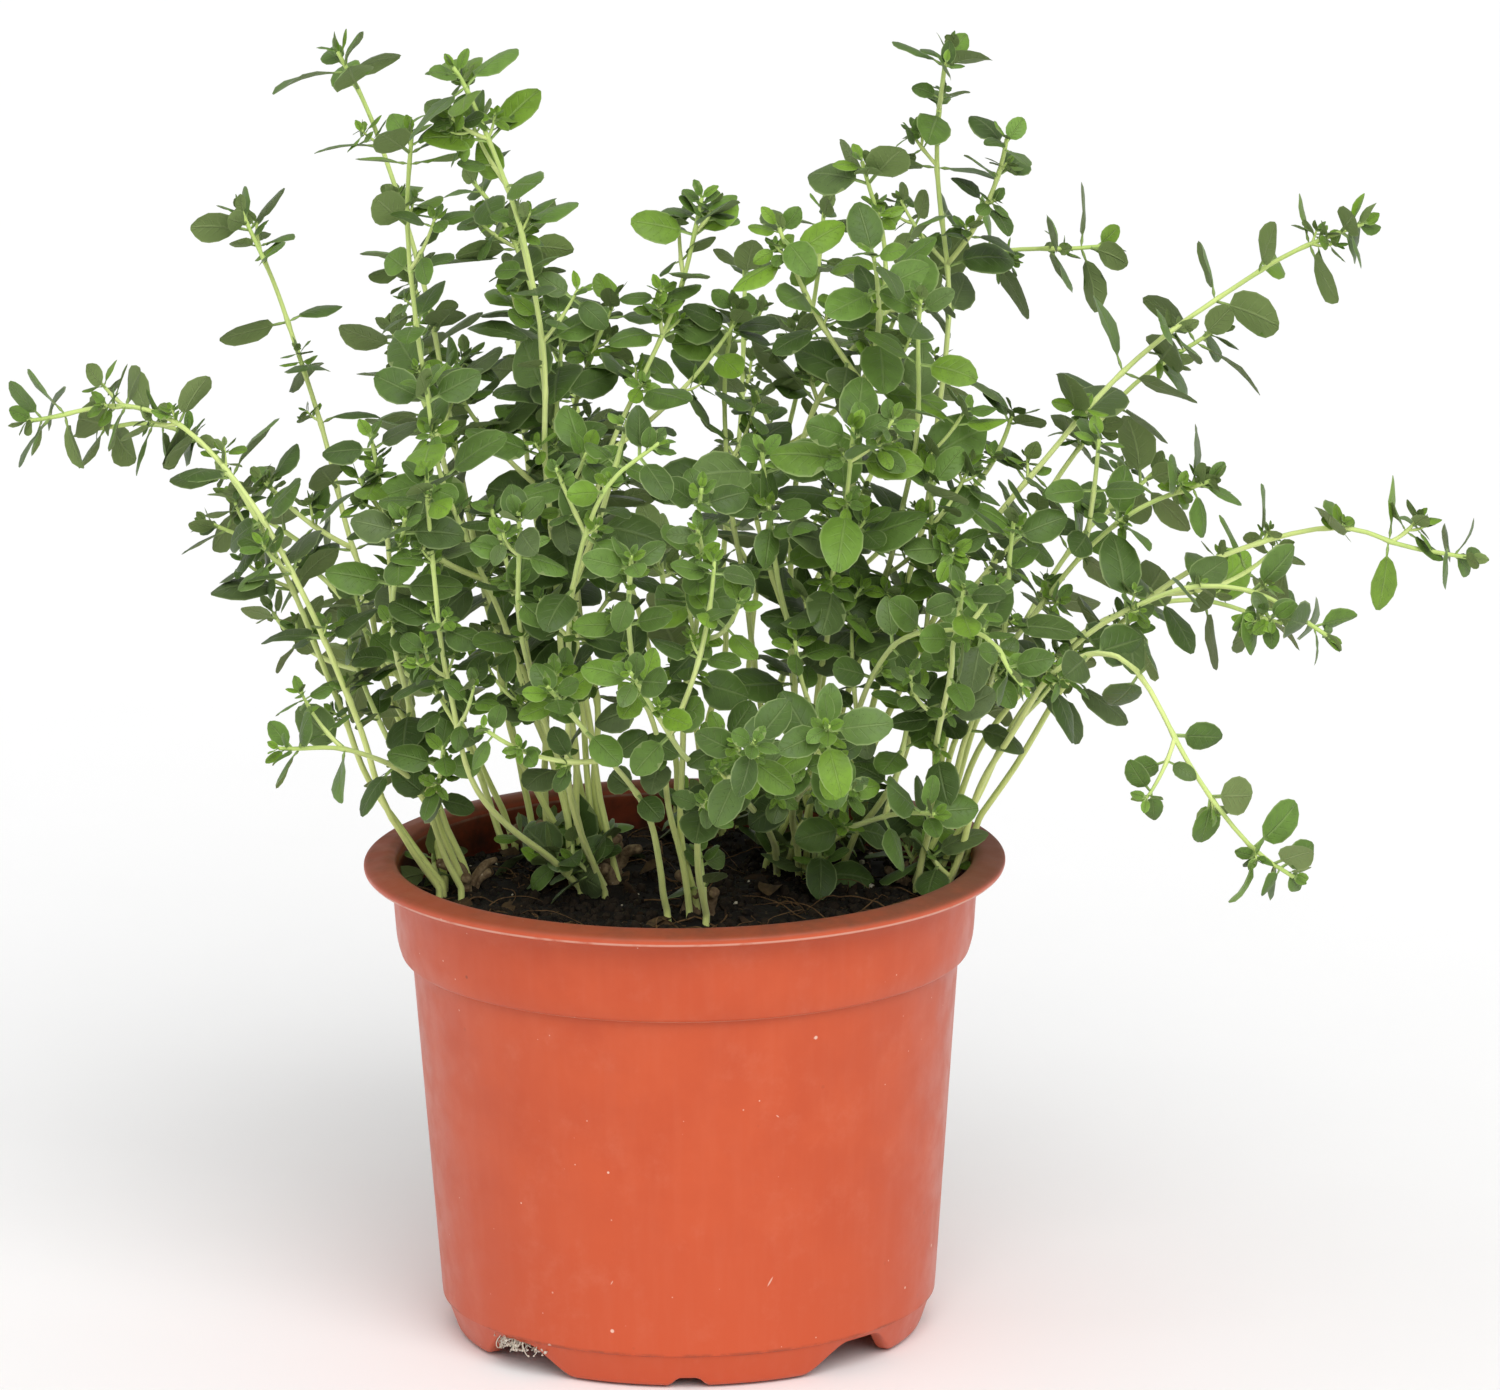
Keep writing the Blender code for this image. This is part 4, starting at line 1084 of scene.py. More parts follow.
@dataclass
class Soil:
    """The potting soil: a body with a crumbly surface, and the loose bits that lie on and in it.

    The surface is the soil line, lowered a little, plus layers of noise: hollows between the stems,
    clods, and crumbs.
    """

    axis: Array
    line: SoilLine
    seed: int = 5
    lowered: float = 1.0
    wall_foot: tuple[float, float] = (45.05, 7.55)
    wall_top: tuple[float, float] = (49.75, 72.35)
    band_foot: tuple[float, float] = (52.55, 75.85)
    top_radius: float = 53.05
    rings: int = 120
    columns: int = 360

    def __post_init__(self) -> None:
        """Starts the soil's own sequence of random numbers."""
        self.rng = np.random.default_rng(self.seed)

    def surface(self, x: Array, y: Array) -> Array:
        """Height of the surface at each place."""
        radius = np.hypot(x, y)
        flat = np.stack([x, y, np.zeros_like(x)], axis=-1)
        hollows = value_noise(flat, 19.0, 61) * 1.5
        clods = layered_noise(flat, 7.0, 62, 4) * 1.15
        rim = smooth_step(radius, 44.0, self.top_radius)
        heap = 1.2 * np.exp(-((x + 14.0) ** 2 + (y - 3.0) ** 2) / 120.0)
        return self.line.height(radius) - self.lowered + (hollows + clods) * (1.0 - 0.45 * rim) + heap

    def scatter(self, count: int, reach: float, lift: float) -> Array:
        """Random places on the surface, evenly spread, within the given radius."""
        radius = reach * np.sqrt(self.rng.random(count))
        around = self.rng.uniform(0.0, 2.0 * math.pi, count)
        x, y = radius * np.cos(around), radius * np.sin(around)
        return np.stack([x, y, self.surface(x, y) + lift], axis=-1)

    def body(self, finish: bpy.types.Material) -> bpy.types.Object:
        """The soil's body: its rough top, its sides along the pot's wall, and its level underside."""
        angle = np.linspace(0.0, 2.0 * math.pi, self.columns, endpoint=False)
        radius = self.top_radius * np.linspace(0.0, 1.0, self.rings + 1)[1:, None]
        x, y = radius * np.cos(angle), radius * np.sin(angle)
        top = np.stack([x, y, self.surface(x, y)], axis=-1)
        sides = []
        for ring_radius, height in (self.band_foot, self.wall_top, self.wall_foot):
            level = np.full_like(angle, height)
            x, y = ring_radius * np.cos(angle), ring_radius * np.sin(angle)
            sides.append(np.stack([x, y, level], axis=-1))
        mesh = PieceMesh(self.axis)
        start = mesh.add_points(np.concatenate([top, np.array(sides)]))
        middle = float(self.surface(np.zeros(1), np.zeros(1))[0])
        poles = mesh.add_points(np.array([[0.0, 0.0, middle], [0.0, 0.0, self.wall_foot[1]]]))
        rows = self.rings + len(sides)
        mesh.add_faces(grid_faces(rows, self.columns, True) + start)
        ring = np.arange(self.columns)
        mesh.add_faces(fan_faces(poles, start + ring, True))
        mesh.add_faces(fan_faces(poles + 1, start + (rows - 1) * self.columns + ring, False))
        return mesh.to_object("soil_body", finish, sharp=60.0)

    def lumps(
        self,
        name: str,
        count: int,
        sizes: tuple[float, float],
        stretch: Array,
        lift: float,
        finish: bpy.types.Material,
    ) -> bpy.types.Object:
        """Loose lumps on the surface, more small ones than large ones.

        Args:
            name: The piece's name.
            count: How many there are.
            sizes: Half sizes of the smallest and the largest.
            stretch: How much longer each side is than the half size.
            lift: Height of a lump's middle above the surface, as a share of its half size.
            finish: Their material.

        Returns:
            The piece that holds them all.
        """
        half = sizes[0] + (sizes[1] - sizes[0]) * self.rng.random(count) ** 3
        places = self.scatter(count, 50.8, 0.0)
        places[:, 2] += half * lift
        mesh = PieceMesh(self.axis)
        spread = self.rng.uniform(0.75, 1.25, (count, 3))
        LumpShape().add(mesh, places, half[:, None] * stretch * spread, 0.22, self.rng)
        return mesh.to_object(name, finish, sharp=40.0)

    def fibres(self, name: str, count: int, reach: float, finish: bpy.types.Material) -> bpy.types.Object:
        """Thin bent fibres and rootlets that lie on the surface, with their ends in it.

        Each runs straight ahead, bent by two sine waves of its own, and arches up by a sine.
        """
        mesh = PieceMesh(self.axis)
        shape = TubeShape(sides=5)
        t = np.linspace(0.0, 1.0, 16)
        for start in self.scatter(count, reach, -0.3):
            length = float(self.rng.uniform(4.0, 21.0))
            heading = self.rng.uniform(0.0, 2.0 * math.pi)
            bends = self.rng.normal(0.0, 0.13, 2) * length
            sway = bends[0] * np.sin(math.pi * t) + bends[1] * 0.6 * np.sin(2.0 * math.pi * t)
            x = start[0] + np.cos(heading) * t * length - np.sin(heading) * sway
            y = start[1] + np.sin(heading) * t * length + np.cos(heading) * sway
            inside = np.minimum(1.0, 51.5 / np.hypot(x, y))
            x, y = x * inside, y * inside
            arch = self.rng.uniform(0.3, 0.22 * length) * np.sin(math.pi * t)
            path = np.stack([x, y, self.surface(x, y) - 0.25 + arch], axis=-1)
            half = self.rng.uniform(0.1, 0.24) * (1.0 - 0.6 * t)
            shape.add(mesh, path, half, 0.0, chance=float(self.rng.random()))
        return mesh.to_object(name, finish)

    def fallen_leaves(self, count: int, finish: bpy.types.Material) -> bpy.types.Object:
        """Dry leaves that have dropped on the soil, flat or curled."""
        batch = LeafBatch()
        for place in self.scatter(count, 48.0, 0.7):
            heading = self.rng.uniform(0.0, 2.0 * math.pi)
            out = unit(np.array([math.cos(heading), math.sin(heading), self.rng.uniform(-0.1, 0.35)]))
            batch.add(
                place - out * 3.0,
                out,
                unit(UP + self.rng.normal(0.0, 0.4, 3)),
                length=float(self.rng.uniform(5.0, 9.5)),
                width=float(self.rng.uniform(2.6, 4.8)),
                droop=float(self.rng.normal(0.2, 0.7)),
                fold=float(self.rng.uniform(0.2, 0.7)),
                twist=float(self.rng.normal(0.0, 0.5)),
                age=1.0,
                chance=float(self.rng.random()),
            )
        mesh = PieceMesh(self.axis)
        BLADE.add(mesh, batch)
        return mesh.to_object("fallen_leaves", finish, sharp=LEAF_SHARP)

    def woody_crowns(self, finish: bpy.types.Material) -> bpy.types.Object:
        """The knotted woody bases that the stems rise from: short thick bent stubs at each crown."""
        mesh = PieceMesh(self.axis)
        shape = TubeShape(sides=10, power=2.0)
        t = np.linspace(0.0, 1.0, 14)
        for name, (x, y) in CROWNS.items():
            stubs = 9 if name == "centre" else 5
            for _ in range(stubs):
                heading = self.rng.uniform(0.0, 2.0 * math.pi)
                reach = self.rng.uniform(2.0, 7.0)
                foot = np.array([x, y]) + self.rng.normal(0.0, 1.6, 2)
                px = foot[0] + math.cos(heading) * reach * t**1.4
                py = foot[1] + math.sin(heading) * reach * t**1.4
                ground = float(self.surface(foot[:1], foot[1:])[0])
                pz = ground - 2.5 + self.rng.uniform(5.0, 9.0) * np.sin(t * math.pi / 2)
                path = np.stack([px, py, pz], axis=-1)
                path = path + 0.3 * np.stack([value_noise(path, 2.2, n) for n in (3, 4, 5)], axis=-1)
                half = self.rng.uniform(0.9, 1.6) * (1.0 - 0.35 * t)
                half = half * (1.0 + 0.22 * value_noise(path, 1.3, 8))
                shape.add(mesh, path, half, 0.0, chance=float(self.rng.random()))
        return mesh.to_object("woody_crowns", finish)

    def root_fuzz(self, ring_radius: float, angle: float, finish: bpy.types.Material) -> bpy.types.Object:
        """A tuft of pale rootlets and grains that hangs out of the base, in one gap between the feet.

        Args:
            ring_radius: Distance of the tuft from the pot's axis.
            angle: Its place round the axis, in radians.
            finish: Its material.

        Returns:
            The piece.
        """
        mesh = PieceMesh(self.axis)
        shape = TubeShape(sides=4)
        t = np.linspace(0.0, 1.0, 12)
        starts = []
        for _ in range(64):
            at = angle + self.rng.normal(0.0, 0.085)
            radius = ring_radius + self.rng.uniform(-2.6, 0.2)
            start = np.array([radius * math.cos(at), radius * math.sin(at), 6.0])
            lean = self.rng.normal(0.0, 0.7, 3) * np.array([1.0, 1.0, 0.0])
            drop = self.rng.uniform(0.6, 2.6)
            curl = self.rng.normal(0.0, 0.45, (2, 3))
            path = start + lean * t[:, None] - UP * drop * t[:, None] ** 0.8
            for waves in (1, 2):
                path = path + curl[waves - 1] * np.sin(waves * math.pi * t)[:, None] / waves
            path[:, 2] = np.clip(path[:, 2], 0.25, 6.2)
            half = np.full(len(t), float(self.rng.uniform(0.06, 0.12)))
            shape.add(mesh, path, half, 0.0, chance=float(self.rng.random()))
            starts.append(path[-1])
        sizes = self.rng.uniform(0.12, 0.36, (len(starts), 1)) * np.ones(3)
        LumpShape().add(mesh, np.array(starts), sizes, 0.25, self.rng)
        return mesh.to_object("root_fuzz", finish)


# Finishes


def tone(red: int, green: int, blue: int) -> Color:
    """The linear colour of an sRGB tone given from 0 to 255."""
    shares = (value / 255.0 for value in (red, green, blue))
    return tuple(s / 12.92 if s <= 0.04045 else ((s + 0.055) / 1.055) ** 2.4 for s in shares)


Socket = bpy.types.NodeSocket
Feed = Socket | float | tuple
Feeds = dict[str | int, Feed]


class Nodes:
    """Adds nodes to a material's tree or to a group's, in few words. Lengths are in millimetres."""

    def __init__(self, tree: bpy.types.NodeTree) -> None:
        """Keeps the tree."""
        self.tree = tree

    def add(self, kind: str, feeds: Feeds | None = None, **settings: object) -> bpy.types.Node:
        """Adds one node.

        Args:
            kind: Its type, without ShaderNode.
            feeds: What goes into its inputs, by name or index: another socket, or a constant.
            settings: Its other properties.

        Returns:
            The node.
        """
        node = self.tree.nodes.new(f"ShaderNode{kind}")
        for name, value in settings.items():
            setattr(node, name, value)
        return self.feed(node, feeds or {})

    def feed(self, node: bpy.types.Node, feeds: Feeds) -> bpy.types.Node:
        """Links sockets to a node's inputs, or sets constants on them.

        Args:
            node: The node.
            feeds: What goes into its inputs, by name or index.

        Returns:
            The same node.
        """
        for key, feed in feeds.items():
            if isinstance(feed, Socket):
                self.tree.links.new(feed, node.inputs[key])
            else:
                wide = isinstance(feed, tuple) and node.inputs[key].type == "RGBA"
                node.inputs[key].default_value = (*feed, 1.0) if wide else feed
        return node

    def math(self, operation: str, first: Feed, second: Feed = 0.0) -> Socket:
        """A calculation with one or two numbers."""
        return self.add("Math", {0: first, 1: second}, operation=operation).outputs[0]

    def plus(self, first: Feed, second: Feed) -> Socket:
        """The sum of two numbers."""
        return self.math("ADD", first, second)

    def minus(self, first: Feed, second: Feed) -> Socket:
        """The first number less the second."""
        return self.math("SUBTRACT", first, second)

    def times(self, first: Feed, second: Feed) -> Socket:
        """The product of two numbers."""
        return self.math("MULTIPLY", first, second)

    def step(self, value: Feed, low: Feed, high: Feed, start: Feed = 0.0, end: Feed = 1.0) -> Socket:
        """start below low, end above high, and a smooth rise between."""
        feeds = {"Value": value, "From Min": low, "From Max": high, "To Min": start, "To Max": end}
        return self.add("MapRange", feeds, interpolation_type="SMOOTHSTEP").outputs[0]

    def band(self, value: Socket, middle: float, half: float) -> Socket:
        """1 where a value is at the middle, down to 0 at half away from it."""
        away = self.math("ABSOLUTE", self.minus(value, middle))
        return self.step(away, half * 0.3, half, 1.0, 0.0)

    def mix(self, share: Feed, first: Feed, second: Feed) -> Socket:
        """The second colour over the first, as far as the share goes."""
        feeds = {"Factor": share, 6: first, 7: second}
        return self.add("Mix", feeds, data_type="RGBA", clamp_factor=True).outputs[2]

    def ramp(self, value: Socket, stops: dict[float, Color]) -> Socket:
        """A colour by value, blended between stops."""
        node = self.add("ValToRGB", {"Fac": value})
        elements = node.color_ramp.elements
        for index, (place, color) in enumerate(stops.items()):
            element = elements[index] if index < 2 else elements.new(place)
            element.position = place
            element.color = (*color, 1.0)
        return node.outputs[0]

    def noise(self, vector: Socket, cell: Feed, detail: float = 3.0, roughness: float = 0.55) -> Socket:
        """Soft noise from 0 to 1, with features about as wide as the cell."""
        scale = self.math("DIVIDE", 1.0, cell) if isinstance(cell, Socket) else 1.0 / cell
        feeds = {"Vector": vector, "Scale": scale, "Detail": detail, "Roughness": roughness}
        return self.add("TexNoise", feeds, noise_dimensions="3D").outputs[0]

    def place(self) -> Socket:
        """The place on the object, in millimetres."""
        spot = self.add("TexCoord").outputs["Object"]
        return self.add("VectorMath", {0: spot, "Scale": 1.0 / MM}, operation="SCALE").outputs[0]

    def stretched(self, vector: Socket, x: float, y: float, z: float) -> Socket:
        """The vector with each part multiplied, which draws a pattern out along the small ones."""
        return self.add("VectorMath", {0: vector, 1: (x, y, z)}, operation="MULTIPLY").outputs[0]

    def value(self, name: str) -> Socket:
        """A face value of the piece."""
        return self.add("Attribute", attribute_name=name).outputs["Fac"]

    def effect(self, group: bpy.types.NodeTree, feeds: Feeds) -> bpy.types.Node:
        """Places a shared effect, with its own values."""
        return self.add("Group", feeds, node_tree=group)


def new_effect(name: str, inputs: dict[str, str], outputs: dict[str, str]) -> tuple[Nodes, dict, dict]:
    """Starts a shared effect, as a node group.

    Args:
        name: The group's name.
        inputs: Kinds of its inputs, Float, Color or Vector, by name.
        outputs: Kinds of its outputs.

    Returns:
        Its nodes, the sockets that bring its inputs, and the sockets that take its outputs.
    """
    tree = bpy.data.node_groups.new(name, "ShaderNodeTree")
    for direction, sockets in (("INPUT", inputs), ("OUTPUT", outputs)):
        for key, kind in sockets.items():
            tree.interface.new_socket(key, in_out=direction, socket_type=f"NodeSocket{kind}")
    start, end = tree.nodes.new("NodeGroupInput"), tree.nodes.new("NodeGroupOutput")
    return Nodes(tree), start.outputs, end.inputs


def mottled_effect() -> bpy.types.NodeTree:
    """Two colours that run into each other in soft patches, with finer ones inside them."""
    inputs = {"Place": "Vector", "First": "Color", "Second": "Color", "Cell": "Float", "Contrast": "Float"}
    nodes, given, wanted = new_effect("mottled colour", inputs, {"Color": "Color"})
    noise = nodes.noise(given["Place"], given["Cell"], 4.0, 0.6)
    half = nodes.math("DIVIDE", 0.5, given["Contrast"])
    low, high = nodes.minus(0.5, half), nodes.plus(0.5, half)
    mask = nodes.step(noise, low, high)
    nodes.tree.links.new(nodes.mix(mask, given["First"], given["Second"]), wanted["Color"])
    return nodes.tree


def speck_effect() -> bpy.types.NodeTree:
    """Small separate specks, one in some of the cells: Share is the share of cells that hold one."""
    inputs = {"Place": "Vector", "Spacing": "Float", "Size": "Float", "Share": "Float"}
    nodes, given, wanted = new_effect("fine specks", inputs, {"Mask": "Float"})
    scale = nodes.math("DIVIDE", 1.0, given["Spacing"])
    cells = nodes.add("TexVoronoi", {"Vector": given["Place"], "Scale": scale}, voronoi_dimensions="3D")
    chance = nodes.add("SeparateColor", {"Color": cells.outputs["Color"]})
    kept = nodes.math("LESS_THAN", chance.outputs[0], given["Share"])
    size = nodes.times(given["Size"], nodes.plus(chance.outputs[1], 0.4))
    away = nodes.times(cells.outputs["Distance"], given["Spacing"])
    spot = nodes.step(away, nodes.times(size, 0.5), size, 1.0, 0.0)
    nodes.tree.links.new(nodes.times(spot, kept), wanted["Mask"])
    return nodes.tree


@dataclass(frozen=True)
class Effects:
    """The shared effects, built once and placed in each material with its own values."""

    mottled: bpy.types.NodeTree
    specks: bpy.types.NodeTree

    def mottle(
        self, nodes: Nodes, place: Socket, first: Feed, second: Feed, cell: float, contrast: float
    ) -> Socket:
        """Two colours in soft patches.

        Args:
            nodes: The nodes of the material that it goes into.
            place: The place on the object, in millimetres.
            first: One colour.
            second: The other.
            cell: How wide a patch is.
            contrast: How sharply they part.

        Returns:
            The colour.
        """
        feeds = {"Place": place, "First": first, "Second": second, "Cell": cell, "Contrast": contrast}
        return nodes.effect(self.mottled, feeds).outputs["Color"]

    def speckle(self, nodes: Nodes, place: Socket, spacing: float, size: float, share: float) -> Socket:
        """Small separate specks.

        Args:
            nodes: The nodes of the material that they go into.
            place: The place on the object, in millimetres.
            spacing: Distance between the cells that may hold one.
            size: Half size of the larger ones.
            share: Share of the cells that hold one.

        Returns:
            A mask, 1 on a speck.
        """
        feeds = {"Place": place, "Spacing": spacing, "Size": size, "Share": share}
        return nodes.effect(self.specks, feeds).outputs["Mask"]


def new_finish(
    name: str, roughness: float, specular: float, sheen: float = 0.0
) -> tuple[bpy.types.Material, Nodes, bpy.types.Node]:
    """Starts a material on a Principled shader.

    Args:
        name: The material's name.
        roughness: Its roughness where no node changes it.
        specular: Its specular level.
        sheen: How strong the pale bloom of fine down is.

    Returns:
        The material, its nodes and its shader.
    """
    material = bpy.data.materials.new(name)
    material.use_nodes = True
    shader = material.node_tree.nodes["Principled BSDF"]
    nodes = Nodes(material.node_tree)
    constants = {"Roughness": roughness, "Specular IOR Level": specular, "Sheen Weight": sheen}
    nodes.feed(shader, {**constants, "Sheen Roughness": 0.5})
    return material, nodes, shader


def relief(nodes: Nodes, shader: bpy.types.Node, height: Socket, distance: float) -> None:
    """Bumps the surface: height 1 stands out by the distance, in millimetres."""
    bump = nodes.add("Bump", {"Height": height, "Distance": distance * MM, "Strength": 1.0})
    nodes.feed(shader, {"Normal": bump.outputs[0]})


@dataclass(frozen=True)
class TerracottaPlastic:
    """Matt orange plastic: cloudy colour, a fine grain, dust, soil on the lip, scuffs, mould lines painted
    pale partly as a highlight, and painted shade on the inner wall.
    """

    clean: Color = tone(197, 81, 40)
    cloudy: Color = tone(189, 74, 35)
    low_down: Color = tone(193, 78, 39)
    dust: Color = tone(222, 148, 122)
    pale: Color = tone(235, 205, 185)
    soiled: Color = tone(118, 70, 50)
    dark: Color = tone(58, 38, 28)
    # painted shade: the dim inner wall above the soil, inside the pot's recess
    inner: Color = tone(60, 31, 22)
    # heights of the shoulder's crease and the lip's lower edge: mould lines, painted pale partly as the
    # highlight these edges catch
    mould_lines_and_highlights: tuple[float, float] = (72.2, 88.75)

    def make(self, effects: Effects, pot: Pot) -> bpy.types.Material:
        """Makes the material for a pot.

        Args:
            effects: The shared effects.
            pot: The pot, whose heights place the soiled lip, the pale mould lines with their painted
                highlight, and the painted shade on the inner wall.

        Returns:
            The material.
        """
        material, nodes, shader = new_finish("terracotta_plastic", 0.38, 0.42)
        place = nodes.place()
        from_axis = nodes.add("VectorMath", {0: place, 1: tuple(pot.axis)}, operation="SUBTRACT").outputs[0]
        parts = nodes.add("SeparateXYZ", {0: from_axis})
        x, y, z = parts.outputs
        across = nodes.add("CombineXYZ", {"X": x, "Y": y})
        radius = nodes.add("VectorMath", {0: across.outputs[0]}, operation="LENGTH").outputs["Value"]
        color = effects.mottle(nodes, place, self.clean, self.cloudy, cell=16.0, contrast=2.2)
        color = nodes.mix(nodes.step(z, 45.0, 3.0), color, self.low_down)
        flow = nodes.noise(nodes.stretched(place, 1.0, 1.0, 0.12), 2.6, 2.0)
        color = nodes.mix(nodes.step(flow, 0.4, 0.75, 0.0, 0.03), color, self.dust)
        film = nodes.noise(place, 9.0, 5.0, 0.7)
        color = nodes.mix(nodes.step(film, 0.5, 0.85, 0.0, 0.14), color, self.dust)
        broken = nodes.step(nodes.noise(place, 3.5, 3.0), 0.2, 0.5)
        # pale lines at the crease and the lip's edge: partly mould lines, partly a painted highlight
        for height in self.mould_lines_and_highlights:
            line = nodes.times(nodes.band(z, height, 0.34), broken)
            color = nodes.mix(nodes.times(line, 0.42), color, self.pale)
        for spacing, size, share, strength in ((5.5, 0.36, 0.26, 0.75), (2.2, 0.17, 0.18, 0.5)):
            mask = effects.speckle(nodes, place, spacing, size, share)
            color = nodes.mix(nodes.times(mask, strength), color, self.pale)
        for turn, spacing in ((0.9, 2.2), (-0.55, 2.8)):
            turned = nodes.add("VectorRotate", {"Vector": place, "Angle": turn}, rotation_type="Y_AXIS")
            drawn = nodes.stretched(turned.outputs[0], 1.0, 1.0, 0.11)
            mask = effects.speckle(nodes, drawn, spacing, size=0.14, share=0.1)
            color = nodes.mix(nodes.times(mask, 0.55), color, self.pale)
        grit = effects.speckle(nodes, place, spacing=6.0, size=0.42, share=0.3)
        near_top = nodes.step(z, pot.height - 26.0, pot.height - 1.0, 0.1, 1.0)
        color = nodes.mix(nodes.times(grit, near_top), color, self.dark)
        smear = nodes.noise(nodes.stretched(place, 1.0, 1.0, 2.0), 5.0, 5.0, 0.65)
        side = nodes.plus(nodes.times(x, 0.004), nodes.times(y, 0.0035))
        smear = nodes.plus(smear, side)
        on_lip = nodes.step(z, pot.height - 1.9, pot.height - 0.9)
        soil = nodes.times(nodes.step(smear, 0.15, 0.7, 0.55, 0.92), on_lip)
        color = nodes.mix(soil, color, self.soiled)
        # painted shade: the inner wall above the soil is darkened towards inner, in patches of the film
        # noise
        inside = nodes.step(radius, pot.lip_radius - 6.0, pot.lip_radius - 6.5)
        inside = nodes.times(inside, nodes.step(z, pot.height - 14.0, pot.height - 12.0))
        inside = nodes.times(inside, nodes.step(film, 0.3, 0.7, 0.65, 1.0))
        color = nodes.mix(inside, color, self.inner)
        ledge = nodes.times(nodes.band(z, pot.foot_height + 0.2, 0.55), nodes.step(film, 0.4, 0.6))
        color = nodes.mix(nodes.times(ledge, 0.35), color, self.dark)
        nodes.feed(shader, {"Base Color": color})
        rough = nodes.step(nodes.noise(place, 6.0, 4.0), 0.3, 0.7, 0.32, 0.45)
        rough = nodes.plus(rough, nodes.times(soil, 0.3))
        nodes.feed(shader, {"Roughness": rough})
        grain = nodes.noise(place, 0.45, 3.0, 0.6)
        waves = nodes.noise(place, 12.0, 1.0)
        height = nodes.plus(nodes.times(grain, 0.12), waves)
        height = nodes.plus(height, nodes.times(soil, 0.5))
        relief(nodes, shader, height, 0.07)
        return material


@dataclass(frozen=True)
class LooseMatter:
    """Soil, bark, grains or fibres: a cloudy colour that differs from bit to bit, with a rough relief."""

    name: str
    first: Color
    second: Color
    cell: float
    speck: Color
    speck_share: float = 0.1
    roughness: float = 0.92
    rise: float = 0.25

    def make(self, effects: Effects) -> bpy.types.Material:
        """Makes the material."""
        material, nodes, shader = new_finish(self.name, self.roughness, 0.3)
        place = nodes.place()
        color = effects.mottle(nodes, place, self.first, self.second, self.cell, contrast=3.0)
        chance = nodes.value("chance")
        color = nodes.mix(nodes.step(chance, 0.3, 1.0, 0.0, 0.6), color, self.second)
        mask = effects.speckle(nodes, place, spacing=1.3, size=0.26, share=self.speck_share)
        color = nodes.mix(nodes.times(mask, 0.8), color, self.speck)
        nodes.feed(shader, {"Base Color": color})
        coarse, fine = nodes.noise(place, 1.6, 4.0, 0.65), nodes.noise(place, 0.35, 3.0)
        height = nodes.plus(coarse, nodes.times(fine, 0.35))
        relief(nodes, shader, height, self.rise)
        return material


@dataclass(frozen=True)
class ThymeLeaf:
    """A downy leaf: bright when young and darker with age, with a pale rim, veins, oil dots, a pale
    stalk and a greyer underside."""

    bud: Color = tone(111, 146, 42)
    young: Color = tone(97, 130, 50)
    grown: Color = tone(74, 100, 40)
    old: Color = tone(60, 82, 34)
    greyish: Color = tone(86, 100, 62)
    under: Color = tone(132, 150, 92)
    stalk: Color = tone(160, 186, 108)
    rim: Color = tone(160, 178, 118)
    yellowing: Color = tone(150, 150, 70)

    def make(self, effects: Effects) -> bpy.types.Material:
        """Makes the material."""
        material, nodes, shader = new_finish("thyme_leaf", 0.5, 0.32, sheen=0.03)
        place = nodes.place()
        uv = nodes.add("SeparateXYZ", {0: nodes.add("TexCoord").outputs["UV"]})
        along, round_ = uv.outputs[0], uv.outputs[1]
        side = nodes.math("ABSOLUTE", nodes.minus(nodes.times(round_, 2.0), 1.0))
        age, chance, below = (nodes.value(name) for name in ("age", "chance", "under"))
        color = nodes.ramp(age, {0.0: self.bud, 0.14: self.young, 0.5: self.grown, 1.0: self.old})
        grey = nodes.step(chance, 0.55, 1.0, 0.0, 0.75)
        color = nodes.mix(nodes.times(grey, nodes.step(age, 0.1, 0.6)), color, self.greyish)
        sick = nodes.times(nodes.math("LESS_THAN", chance, 0.025), nodes.step(age, 0.5, 0.9, 0.0, 0.8))
        color = nodes.mix(sick, color, self.yellowing)
        cloud = nodes.noise(place, 2.4, 3.0)
        shade = nodes.plus(nodes.step(cloud, 0.3, 0.7, 0.72, 0.94), nodes.times(chance, 0.36))
        color = nodes.add("VectorMath", {0: color, "Scale": shade}, operation="SCALE").outputs[0]
        dots = effects.speckle(nodes, place, spacing=0.55, size=0.13, share=0.8)
        color = nodes.mix(nodes.times(dots, 0.3), color, self.old)
        color = nodes.mix(nodes.times(below, 0.8), color, self.under)
        slant = nodes.minus(nodes.times(along, 7.5), nodes.times(side, 1.6))
        near = nodes.math("ABSOLUTE", nodes.minus(nodes.math("FRACT", slant), 0.5))
        vein = nodes.times(nodes.step(near, 0.12, 0.02), nodes.step(side, 0.85, 0.2))
        middle = nodes.step(side, 0.1, 0.02)
        veins = nodes.math("MAXIMUM", nodes.times(vein, 0.45), middle)
        strength = nodes.step(below, 0.0, 1.0, 0.17, 0.4)
        color = nodes.mix(nodes.times(veins, strength), color, self.rim)
        edge = nodes.times(nodes.step(side, 0.88, 1.0), 0.5)
        color = nodes.mix(edge, color, self.rim)
        stalk = nodes.step(along, 0.26, 0.15)
        color = nodes.mix(nodes.times(stalk, 0.85), color, self.stalk)
        nodes.feed(shader, {"Base Color": color})
        rough = nodes.step(cloud, 0.3, 0.7, 0.42, 0.58)
        rough = nodes.plus(rough, nodes.times(below, 0.18))
        nodes.feed(shader, {"Roughness": rough})
        sunk = nodes.times(veins, nodes.step(below, 0.0, 1.0, -1.0, 1.2))
        height = nodes.plus(nodes.times(cloud, 0.9), sunk)
        height = nodes.minus(height, nodes.times(dots, 0.3))
        relief(nodes, shader, height, 0.14)
        return material


